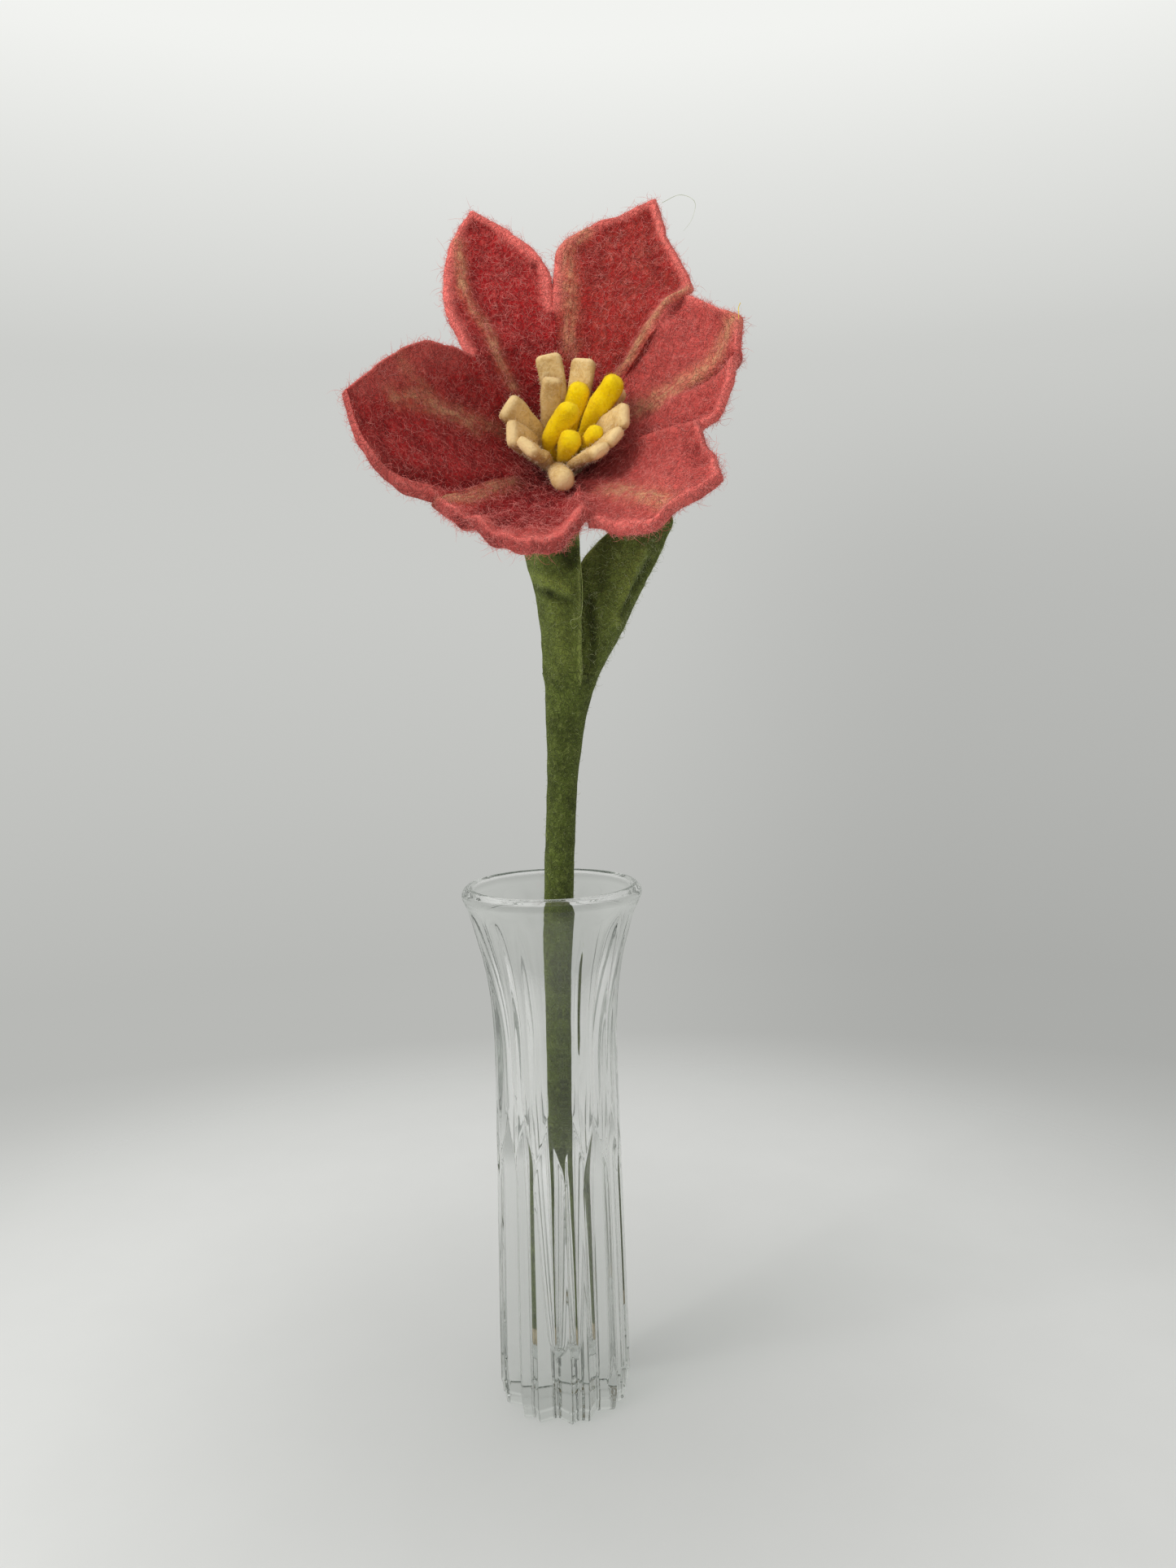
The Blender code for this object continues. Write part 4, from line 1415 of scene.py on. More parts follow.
@dataclass
class Stigma:
    """The five yellow felt fingers in the middle: azimuth of the foot, route and radius of each."""

    flower: FlowerFrame
    fingers: tuple[tuple[float, tuple[Point, ...], float], ...] = (
        (90, ((70, 6.8, 9.5), (64, 14.0, 19.5)), 3.2), (18, ((24, 9.0, 12.0), (23, 18.9, 25.6)), 3.2),
        (162, ((200, 4.2, 9.5), (352, 4.6, 23.2)), 3.1), (306, ((322, 7.0, 8.0), (328, 13.6, 20.2)), 2.2),
        (234, ((275, 5.4, 7.5), (297, 8.9, 19.2)), 3.0),
    )
    foot: Point = (1.5, -3.4)
    widths: tuple[Point, ...] = ((0.0, 0.3), (0.35, 0.55), (0.7, 1.0), (1.0, 1.04))
    squareness: float = 0.8
    stations: int = 14

    def build(self, index: int, material: bpy.types.Material) -> bpy.types.Object:
        """Build one finger.

        Args:
            index: Its place, from 0.
            material: Its felt.

        Returns:
            The piece.
        """
        azimuth, route, radius = self.fingers[index]
        line = Spline([self.flower.world(azimuth, *self.foot)]
                      + [self.flower.world(*place) for place in route])
        places, shares = zip(*self.widths)
        widths = 2 * radius * np.interp(np.linspace(0, 1, self.stations), places, shares)
        bars = Bars()
        sideways = np.tile(self.flower.right, (bars.rows, 1))
        bm = bars.build(line, widths, widths, sideways, self.squareness, 11.0 + 2.9 * index)
        name = "stigma_%d" % (index + 1)
        return add_piece(name + "_felt", bm, material, (name,))


@dataclass
class Lobes:
    """The two green lobes at the top of the stem."""

    thickness: float = 2.2
    rounding: float = 1.2
    tone: float = 0.38
    lumps: Lumps = Lumps((0.4, 8.0), (0.2, 3.0))
    rim_share: float = 0.75
    rim_width: float = 1.1
    smooth_rim: float = 3.0
    smooth_foot: tuple[float, float] = (0.02, 0.15)
    columns: int = 44
    rows: int = 64
    left: dict[float, tuple[tuple[float, float], ...]] = field(default_factory=lambda: {
        246.0: ((2.8, -5.2), (0.4, -10.4), (4.0, -15.4), (12.0, -16.4)),
        250.3: ((2.6, -5.2), (-0.5, -10.6), (3.5, -16.2), (12.2, -17.2)),
        262.0: ((2.0, -4.6), (-0.6, -11.0), (3.5, -17.6), (12.3, -18.2)),
        275.0: ((-0.2, -4.4), (-2.3, -11.2), (2.5, -19.4), (12.5, -19.4)),
        287.0: ((-2.6, -5.0), (-5.0, -12.2), (0.4, -21.6), (12.6, -20.6)),
        298.0: ((-5.6, -6.4), (-8.0, -13.6), (-1.2, -23.8), (12.4, -22.6)),
    })
    right: dict[float, tuple[tuple[float, float], ...]] = field(default_factory=lambda: {
        246.0: ((10.6, -13.8), (13.8, -14.0), (16.0, -11.4), (16.4, -7.8)),
        250.3: ((10.8, -14.2), (15.2, -14.4), (17.6, -11.6), (18.2, -7.6)),
        262.0: ((10.6, -14.0), (18.0, -15.2), (23.0, -13.2), (25.3, -8.4)),
        275.0: ((10.8, -13.0), (20.4, -15.4), (28.4, -14.0), (31.8, -8.4)),
        285.0: ((12.4, -12.2), (23.2, -14.8), (32.7, -13.0), (37.4, -8.0)),
        291.5: ((17.6, -11.6), (26.0, -13.8), (35.0, -12.2), (40.4, -8.0)),
        298.0: ((25.0, -10.2), (31.5, -12.2), (38.0, -11.0), (42.8, -8.0)),
        305.0: ((31.5, -8.6), (34.0, -9.6), (37.5, -9.4), (40.0, -8.4)),
    })
    left_folds: tuple[Fold, ...] = (
        Fold(((-3.6, 281.4), (-1.5, 280.4), (1.0, 279.2), (3.9, 277.9), (6.4, 276.6)), 1.9,
             light=0.8, polar=False),
        Fold(((1.0, 279.2), (3.9, 277.9), (6.4, 276.6), (9.5, 275.0)), 1.7, lift=1.2, light=0.5,
             polar=False),
        Fold(((-3.0, 277.9), (0, 276.4), (3, 275.0)), 1.2, dark=0.5, polar=False),
        Fold(((2.5, 275.3), (5, 274.2), (9, 272.4)), 1.3, lift=-0.9, dark=0.5, polar=False),
        # A painted shadow patch where the inside of the lobe lies in shade behind the flower.
        Fold(((8.0, 287.5), (10.2, 284.4), (11.6, 288.0)), 2.4, lift=-1.2, dark=0.85, polar=False),
        Fold(((1.5, 296), (0.5, 289), (-1.5, 284)), 2.2, lift=0.6, light=0.3, polar=False),
        Fold(((4.5, 270), (5.5, 262), (6.5, 254)), 2.4, lift=0.7, light=0.35, polar=False),
    )
    right_folds: tuple[Fold, ...] = (
        Fold(((32.5, 288.5), (31.5, 286.2), (29.1, 281.2), (26.9, 276.1), (25.0, 271.1), (23.3, 266)), 1.4,
             lift=1.5, light=0.9, polar=False),
        Fold(((34.6, 285.0), (33.6, 282.7), (30.9, 278.6), (27.4, 273.6), (24.9, 268.5)), 1.1,
             lift=-1.2, dark=0.65, polar=False),
        # A painted shadow strip along the edge of the stem.
        Fold(((14.9, 273), (15.4, 266), (16.0, 259), (15.6, 253.5)), 1.9, lift=-0.9, dark=0.75,
             polar=False),
        Fold(((21.5, 291), (19.5, 285), (18.2, 277)), 2.6, lift=-0.5, dark=0.45, polar=False),
        Fold(((27.5, 287), (25.7, 280), (24.3, 275)), 2.0, lift=0.4, light=0.4, polar=False),
    )

    def build(self, name: str, outline: dict[float, tuple[Point, ...]], folds: tuple[Fold, ...],
              material: bpy.types.Material) -> bpy.types.Object:
        """Build one lobe.

        Args:
            name: The frame's node that it stands for.
            outline: Points across the sheet for each height.
            folds: What is worked into it.
            material: Its felt.

        Returns:
            The piece.
        """
        across = crowding_ends(self.columns)
        along = np.linspace(0, 1, self.rows + 1)
        levels = [np.column_stack([Spline(list(points)).at(across), np.full(len(across), height)])
                  for height, points in outline.items()]
        face = np.stack([Spline(list(column)).at(along) for column in np.stack(levels, axis=1)], axis=1)
        run, climb = np.gradient(face, axis=1), np.gradient(face, axis=0)
        behind = unit(np.cross(climb, run))
        if behind[self.rows // 2, self.columns // 2, 1] < 0:
            behind = -behind
        steps = np.linalg.norm(np.diff(face, axis=1), axis=-1)
        from_low = np.concatenate([np.zeros((len(along), 1)), np.cumsum(steps, axis=1)], axis=1)
        from_high = from_low[:, -1:] - from_low
        from_top = (1 - along[:, None]) * (max(outline) - min(outline))
        depth = np.minimum(np.minimum(from_low, from_high), from_top)
        closing = np.clip(1 - depth / self.rounding, 0, 1)
        felt = FeltPaint.plain(face.shape[:2], self.tone)
        chart = face[..., (0, 2)]
        lift = self.lumps.at(face, 2.0, 4.0)
        inside = smooth_rise(depth, 0.0, self.smooth_rim)
        for fold in folds:
            near = fold.nearness(chart)
            lift = lift + near * fold.lift * inside
            felt.fold_in(fold, near)
        lift = lift * smooth_rise(along, *self.smooth_foot)[:, None]
        face = face - behind * lift[..., None]
        # Pale rim, partly painted highlight.
        felt.edge = self.rim_share * np.exp(-(depth / self.rim_width) ** 2)
        bm = sheet(face, behind, self.thickness, closing, felt)
        return add_piece(name + "_felt", bm, material, (name,))


@dataclass
class Stem:
    """The green sleeve, the wool core that shows under it, and the neck of the flower."""

    flower: FlowerFrame
    line: tuple[Point, ...] = (
        (-0.6, 2.2, 12.0), (-0.2, 0.0, 45.0), (0.5, -4.9, 90.0), (1.2, -8.58, 125.0), (2.6, -9.6, 177.0),
        (4.1, -10.0, 205.0), (5.3, -10.2, 222.0), (6.7, -10.4, 238.0), (8.3, -10.6, 250.0),
        (8.7, -10.6, 268.0), (9.2, -10.4, 285.0), (9.4, -12.2, 298.0), (9.1, -17.2, 307.3),
        (8.8, -22.7, 312.05),
    )
    sleeve: tuple[Point, ...] = (
        (24.0, 3.4, 3.4), (25.0, 3.5, 3.5), (105.0, 3.6, 3.6), (131.0, 4.0, 4.0), (150.0, 4.35, 4.35),
        (175.0, 4.85, 4.85), (205.0, 4.85, 4.85), (214.0, 4.9, 4.9),
        (222.0, 5.3, 5.1), (230.0, 5.9, 5.3), (238.0, 6.7, 5.6), (244.0, 7.6, 6.0), (250.0, 9.0, 6.4),
    )
    core: tuple[Point, ...] = (
        (16.2, 0.3), (16.3, 1.8), (17.0, 3.0), (18.6, 3.9), (22.4, 4.0), (23.6, 2.6), (130.0, 2.6),
        (200.0, 3.0), (245.0, 2.0), (300.0, 2.0),
    )
    neck: tuple[Point, ...] = (
        (250.3, 3.4), (260.0, 3.8), (270.0, 4.4), (280.0, 4.9), (290.0, 5.2), (300.0, 5.9),
    )
    neck_end: tuple[Point, ...] = ((-8.0, 7.6), (-4.0, 9.4))
    bore_gap: float = 0.2
    side_light: float = 0.25
    lumps: Lumps = Lumps((0.22, 7.0), (0.12, 2.6))
    sides: int = 40
    sleeve_step: float = 1.9
    core_rows: tuple[float, ...] = (16.2, 16.22, 16.3, 16.6, 17.0, 17.6, 18.6, 20.4, 22.4, 23.0, 23.6)
    level_rows: int = 6
    core_step: float = 6.0
    neck_rows: int = 30
    slim_neck: float = 3.7
    slim_from: tuple[float, float] = (262.0, 274.0)
    slim_to: tuple[float, float] = (294.0, 300.0)
    neck_lean: Point = (-2.7, 1.0, 0.0)
    lean_heights: tuple[float, float, float, float] = (250.0, 264.0, 296.0, 307.0)

    def share(self, course: Spline, heights: np.ndarray) -> np.ndarray:
        """Return the shares of the stem's line at heights."""
        shares = np.linspace(0, 1, 900)
        return np.interp(heights, course.at(shares)[:, 2], shares)

    def rings(self, heights: np.ndarray, widths: np.ndarray, depths: np.ndarray) -> np.ndarray:
        """Return ellipses around the stem's line.

        Args:
            heights: Height of each ring.
            widths: Half width of each ring.
            depths: Half depth of each ring.

        Returns:
            The rings' points.
        """
        course = Spline(list(self.line))
        shares = self.share(course, heights)
        centres, ahead = course.at(shares), course.directions(shares)
        across = unit(np.array((1.0, 0, 0)) - ahead[:, :1] * ahead)
        deep = np.cross(ahead, across)
        angle = whole_turn(self.sides)[None, :, None]
        return (centres[:, None] + widths[:, None, None] * np.cos(angle) * across[:, None]
                + depths[:, None, None] * np.sin(angle) * deep[:, None])

    def leaned(self, rings: np.ndarray) -> np.ndarray:
        """Move the rings between sleeve and flower behind the left lobe.

        Args:
            rings: Rings about the stem's line.

        Returns:
            The moved rings.
        """
        foot, low, high, end = self.lean_heights
        height = rings[..., 2]
        share = smooth_rise(height, foot, low) * (1 - smooth_rise(height, high, end))
        return rings + share[..., None] * np.array(self.neck_lean)

    def roughened(self, rings: np.ndarray) -> np.ndarray:
        """Give rings the felt's unevenness.

        Args:
            rings: Smooth rings.

        Returns:
            The uneven rings.
        """
        centres = rings.mean(axis=1, keepdims=True)
        uneven = self.lumps.at(rings, 1.0, 3.0)
        return rings + unit(rings - centres) * uneven[..., None]

    def build_sleeve(self, material: bpy.types.Material) -> bpy.types.Object:
        """Build the green felt around the core.

        Args:
            material: Its felt.

        Returns:
            The piece.
        """
        heights, widths, depths = np.array(self.sleeve).T
        foot, top = heights[0], heights[-1]
        fine = np.concatenate([[foot, foot + 0.3, foot + 1.0],
                               np.arange(foot + 2.5, top - 1, self.sleeve_step), [top]])
        outer = self.roughened(self.rings(fine, np.interp(fine, heights, widths),
                                          np.interp(fine, heights, depths)))
        core_heights, core_radii = np.array(self.core).T
        hole = np.interp(fine, core_heights, core_radii) + self.bore_gap
        inner = self.rings(fine, hole, hole)[::-4]
        points = np.concatenate([outer, inner, outer[:1]])
        felt = FeltPaint.plain(points.shape[:2], 0.05)
        felt.tone = felt.tone + self.side_light * np.abs(np.cos(whole_turn(self.sides))) ** 6
        bm = wrap(points, felt, ends=False)
        return add_piece("stem_sleeve_felt", bm, material, ("stem_sleeve",))

    def build_core(self, material: bpy.types.Material) -> bpy.types.Object:
        """Build the undyed wool core.

        Args:
            material: Its wool.

        Returns:
            The piece.
        """
        heights, radii = np.array(self.core).T
        fine = np.concatenate([self.core_rows, np.arange(27, heights[-1], self.core_step)])
        radius = np.interp(fine, heights, radii)
        points = self.leaned(self.rings(fine, radius, radius))
        points[:self.level_rows, :, 2] = fine[:self.level_rows, None]
        felt = FeltPaint.plain(points.shape[:2], 0.2)
        return add_piece("stem_core_wool", wrap(points, felt), material, ("stem_core",))

    def build_neck(self, material: bpy.types.Material) -> bpy.types.Object:
        """Build the felted neck under the petals.

        Args:
            material: Its felt.

        Returns:
            The piece.
        """
        heights, radii = np.array(self.neck).T
        fine = np.linspace(heights[0], heights[-1], self.neck_rows)
        radius = np.interp(fine, heights, radii)
        slim = smooth_rise(fine, *self.slim_from) * (1 - smooth_rise(fine, *self.slim_to))
        radius = radius + slim * (np.minimum(radius, self.slim_neck) - radius)
        rings = [self.leaned(self.rings(fine, radius, radius))]
        angles = np.linspace(0, 360, self.sides, endpoint=False)
        for height, reach in self.neck_end:
            ring = self.flower.world(angles, np.full(self.sides, reach), np.full(self.sides, height))
            rings.append(ring[None])
        points = self.roughened(np.concatenate(rings))
        felt = FeltPaint.plain(points.shape[:2], 0.2)
        bm = wrap(points, felt)
        return add_piece("flower_neck_felt", bm, material, ("flower_neck",))


@dataclass(frozen=True)
class Flute:
    """A V-shaped flute that is pressed along the vase and runs out in a pointed arch."""

    turn: float
    depth: float
    slope: float
    runout: tuple[float, float]
    bottom_rounding: float = 0.25

    def surface(self, turns: np.ndarray, tip: float, body: np.ndarray, height: float) -> np.ndarray:
        """Return the radius of the flute's flanks.

        Args:
            turns: Degrees from the middle of the flute.
            tip: Radius of the ridges beside the flute.
            body: Radius of the plain body at the middle of the flute.
            height: Height above the foot.

        Returns:
            The radius for each angle, beyond the body above the arch.
        """
        low, high = self.runout
        share = float(smooth_rise(np.array(height), low, high))
        bottom = tip * self.depth * (1 - share) + (float(body) + 0.02) * share
        angle = np.radians(turns)
        radius = bottom / np.cos(angle)
        for _ in range(4):
            away = np.sqrt((radius * np.sin(angle)) ** 2 + self.bottom_rounding ** 2)
            radius = (bottom + self.slope * (away - self.bottom_rounding)) / np.cos(angle)
        return radius if height < high else radius + 3.0


@dataclass
class Vase:
    """Pressed glass: a rolled lip, eight broad panels, deep and shallow flutes, a star-shaped foot."""

    height: float = 177.0
    crest_radius: float = 27.85
    roll: Point = (2.4, 3.0)
    outside: tuple[Point, ...] = (
        (28.6, 172.5), (26.9, 167.0), (25.1, 160.0), (23.6, 154.0), (22.3, 146.5), (21.5, 139.8),
        (21.1, 132.0), (20.9, 124.5), (20.95, 114.0), (21.25, 95.5), (21.9, 66.6), (22.5, 31.5),
        (22.7, 16.5), (22.75, 5.0), (22.4, 3.9), (22.0, 0.7), (21.4, 0.0),
    )
    bore: tuple[Point, ...] = (
        (25.45, 177.0), (24.9, 173.5), (24.0, 170.5), (21.4, 160.0), (18.6, 150.0), (16.2, 140.0),
        (14.5, 131.0), (13.5, 121.0), (12.7, 105.0), (11.4, 72.0), (9.9, 40.0), (8.8, 24.0),
    )
    floor: float = 15.0
    panels: int = 8
    corner_turn: float = 14.2
    ridge_share: float = 0.994
    ridge_turn: tuple[Point, ...] = (
        (0.0, 8.3), (83.0, 8.3), (107.0, 6.6), (156.0, 6.6), (172.0, 8.6),
    )
    spread: tuple[float, float] = (107.5, 135.0)
    panel_share: tuple[Point, ...] = (
        (0.0, 1.0), (156.0, 1.0), (163.0, 0.9), (169.0, 0.6), (172.5, 0.0),
    )
    deep: Flute = Flute(turn=22.5, depth=0.8097, slope=0.651, runout=(80.0, 107.5))
    shallow: Flute = Flute(turn=0.0, depth=0.9071, slope=0.571, runout=(88.0, 107.5))
    ridge_rounding: float = 0.25
    hollow: Point = (0.55, 0.3)
    lip_flat: Point = (50.0, 0.93)
    columns: tuple[int, int, int, int] = (6, 5, 6, 9)
    foot_rows: tuple[float, ...] = (0.0, 0.15, 0.4, 0.7, 1.6, 2.8, 3.6, 3.9, 4.2, 4.6, 5.0, 5.4, 6.4)
    body_step: float = 8.0
    arch_rows: int = 30
    neck_step: float = 2.2
    lip_sweep: tuple[float, float] = (-30.0, 180.0)
    lip_rows: int = 36
    wall_rows: int = 52
    floor_sweep: tuple[float, float] = (0.0, 88.0)
    floor_rows: int = 14

    def silhouette(self, height: float) -> float:
        """Find how wide the vase stands at a height.

        Args:
            height: Height above the foot.

        Returns:
            The radius over the ridges.
        """
        radii, heights = np.array(self.outside[::-1]).T
        near = height + np.linspace(-3, 3, 7) * (8 < height < 169)
        return float(np.interp(near, heights, radii).mean())

    def softened(self, first: np.ndarray, second: np.ndarray) -> np.ndarray:
        """Return the lower of two surfaces, with a soft ridge where they meet."""
        near = np.clip(self.ridge_rounding - np.abs(first - second), 0, None)
        return np.minimum(first, second) - near ** 2 / (4 * self.ridge_rounding)

    def ridge_at(self, height: float) -> float:
        """Return the degrees from the middle of a narrow facet to its edge."""
        return float(np.interp(height, *np.array(self.ridge_turn).T))

    def panelled(self, turns: np.ndarray, height: float) -> np.ndarray:
        """Return the radius of the body, which has broad panels and narrow facets in turn.

        Args:
            turns: Degrees from the middle of a narrow facet, up to the middle of a panel.
            height: Height above the foot.

        Returns:
            The radius for each angle.
        """
        outline = self.silhouette(height)
        edge = outline / self.ridge_share
        middle, ridge = math.radians(180 / self.panels), math.radians(self.ridge_at(height))
        angle = np.radians(turns)
        facet = edge * math.cos(ridge) / np.cos(angle)
        panel = edge * math.cos(middle - ridge) / np.cos(middle - angle)
        share = float(np.interp(height, *np.array(self.panel_share).T))
        above = float(smooth_rise(np.array(height), *self.spread))
        broad, narrow = (depth * above for depth in self.hollow)
        facet = facet - narrow * np.clip(1 - (angle / ridge) ** 2, 0, 1)
        panel = panel - broad * np.clip(1 - ((middle - angle) / (middle - ridge)) ** 2, 0, 1)
        return outline * (1 - share) + self.softened(facet, panel) * share

    def flanks(self, flute: Flute, turns: np.ndarray, height: float) -> np.ndarray:
        """Find a flute's flanks.

        Args:
            flute: The flute.
            turns: Degrees from the middle of a narrow facet.
            height: Height above the foot.

        Returns:
            The radius for each angle.
        """
        tip = self.silhouette(height) / self.ridge_share
        plain = self.panelled(np.array(flute.turn), height)
        return flute.surface(np.abs(turns - flute.turn), tip, plain, height)

    def pressed(self, turns: np.ndarray, height: float) -> np.ndarray:
        """Find the fluted body.

        Args:
            turns: Degrees from the middle of a narrow facet.
            height: Height above the foot.

        Returns:
            The radius for each angle.
        """
        radius = self.softened(self.panelled(turns, height), self.flanks(self.deep, turns, height))
        return self.softened(radius, self.flanks(self.shallow, turns, height))

    def half_panel(self, height: float) -> np.ndarray:
        """Place the columns from the middle of a facet to that of a panel.

        Args:
            height: Height above the foot.

        Returns:
            Degrees from the middle of the facet.
        """
        middle, ridge = 180 / self.panels, self.ridge_at(height)
        fine = np.linspace(0, middle, 451)
        body = self.panelled(fine, height)
        notch = fine[self.flanks(self.shallow, fine, height) < body]
        groove = fine[self.flanks(self.deep, fine, height) < body]
        low = min(float(notch.max()), ridge) if len(notch) else 0.0
        high = max(float(groove.min()), ridge) if len(groove) else middle
        spread = float(smooth_rise(np.array(height), *self.spread))
        low = max(low, spread * 0.7 * ridge)
        high = min(high, middle - spread * 0.7 * (middle - ridge))
        stops = (0.0, low, ridge, high, middle)
        spans = [start + (end - start) * crowding_ends(count)
                 for start, end, count in zip(stops, stops[1:], self.columns)]
        return np.concatenate([spans[0]] + [span[1:] for span in spans[1:]])

    def outer_ring(self, height: float) -> np.ndarray:
        """Make one ring of the outside, whose columns follow the ridges and flutes.

        Args:
            height: Height above the foot.

        Returns:
            The ring's points.
        """
        half = self.half_panel(height)
        radii = self.pressed(half, height)
        turns = np.concatenate([half, 2 * half[-1] - half[-2:0:-1]])
        radii = np.concatenate([radii, radii[-2:0:-1]])
        starts = self.corner_turn + np.arange(self.panels) * 360 / self.panels
        angle = np.radians((starts[:, None] + turns[None]).ravel() - 90)
        radii = np.tile(radii, self.panels)
        return np.stack([radii * np.cos(angle), radii * np.sin(angle), np.full(len(angle), height)], axis=1)

    def round_ring(self, pattern: np.ndarray, radius: float, height: float) -> np.ndarray:
        """Return a round ring whose points stand over those of another ring."""
        flat = unit(pattern[:, :2]) * radius
        return np.column_stack([flat, np.full(len(flat), height)])

    def build(self, material: bpy.types.Material) -> bpy.types.Object:
        """Build the vase.

        Args:
            material: Its glass.

        Returns:
            The piece.
        """
        low, high = self.deep.runout
        top = self.outside[0][1]
        heights = np.concatenate([
            self.foot_rows, np.arange(9, low, self.body_step), np.linspace(low, high, self.arch_rows),
            np.arange(high + 1.5, top - 0.5, self.neck_step), [top]])
        rings = [self.outer_ring(height) for height in heights]
        pattern = rings[-1]
        wide, tall = self.roll
        facing, flat = math.radians(self.lip_flat[0]), self.lip_flat[1]
        for turn in np.radians(np.linspace(*self.lip_sweep, self.lip_rows)):
            size = min(1.0, flat / max(math.cos(turn - facing), 0.01))
            reach = self.crest_radius + wide * size * math.cos(turn)
            lifted = self.height + tall * size * math.sin(turn)
            rings.append(self.round_ring(pattern, reach, lifted))
        wall = Spline([(radius, 0.0, height) for radius, height in self.bore])
        for radius, _, height in wall.at(np.linspace(0, 1, self.wall_rows))[1:]:
            rings.append(self.round_ring(pattern, radius, height))
        last_radius, last_height = self.bore[-1]
        for turn in np.radians(np.linspace(*self.floor_sweep, self.floor_rows))[1:]:
            drop = (last_height - self.floor) * math.sin(turn)
            rings.append(self.round_ring(pattern, last_radius * math.cos(turn), last_height - drop))
        bm = wrap(np.array(rings))
        return add_piece("vase_glass", bm, material, ("vase",), sharp=50.0)


@dataclass
class Threads:
    """Single loose threads that hang on the felt."""

    flower: FlowerFrame
    hanging: tuple[Point, ...] = (
        (12.4, -22.8, 287.0), (12.9, -22.6, 278.5), (12.8, -21.8, 272.0), (12.2, -21.4, 268.2),
        (10.6, -21.2, 267.2), (9.1, -21.1, 266.9), (9.2, -21.0, 265.0), (9.9, -21.0, 264.3),
        (11.2, -21.0, 265.4),
    )
    yellow: tuple[Point, ...] = (
        (17.5, 54.5, 42.0), (16.0, 53.5, 41.8), (14.0, 53.0, 41.6), (12.0, 52.5, 41.0),
    )
    hair: tuple[Point, ...] = ((66, 76, 36), (63, 80, 37), (59, 79, 37), (57, 73, 36), (57, 68, 35))
    hanging_radius: float = 0.11
    yellow_radius: float = 0.14
    hair_radius: float = 0.05

    def smooth(self, points: list[Point], count: int = 40) -> np.ndarray:
        """Return a smooth line through points."""
        return Spline(points).at(np.linspace(0, 1, count))

    def build(self, pale: bpy.types.Material, yellow: bpy.types.Material) -> None:
        """Build the threads.

        Args:
            pale: Finish of the pale threads.
            yellow: Finish of the yellow thread.
        """
        line = self.smooth(list(self.hanging))
        draw_threads("loose_thread_green", [(line, self.hanging_radius)], pale)
        bent = [tuple(self.flower.world(*place)) for place in self.yellow]
        line = self.smooth(bent, 14)
        draw_threads("loose_thread_yellow", [(line, self.yellow_radius)], yellow)
        hair = [tuple(self.flower.world(*place)) for place in self.hair]
        line = self.smooth(hair, 24)
        draw_threads("loose_thread_pale", [(line, self.hair_radius)], pale)


@dataclass(frozen=True)
class Softbox:
    """One soft square light: where it stands and points in metres, its width, and its power in watts."""

    name: str
    place: Point
    target: Point
    size: float
    power: float


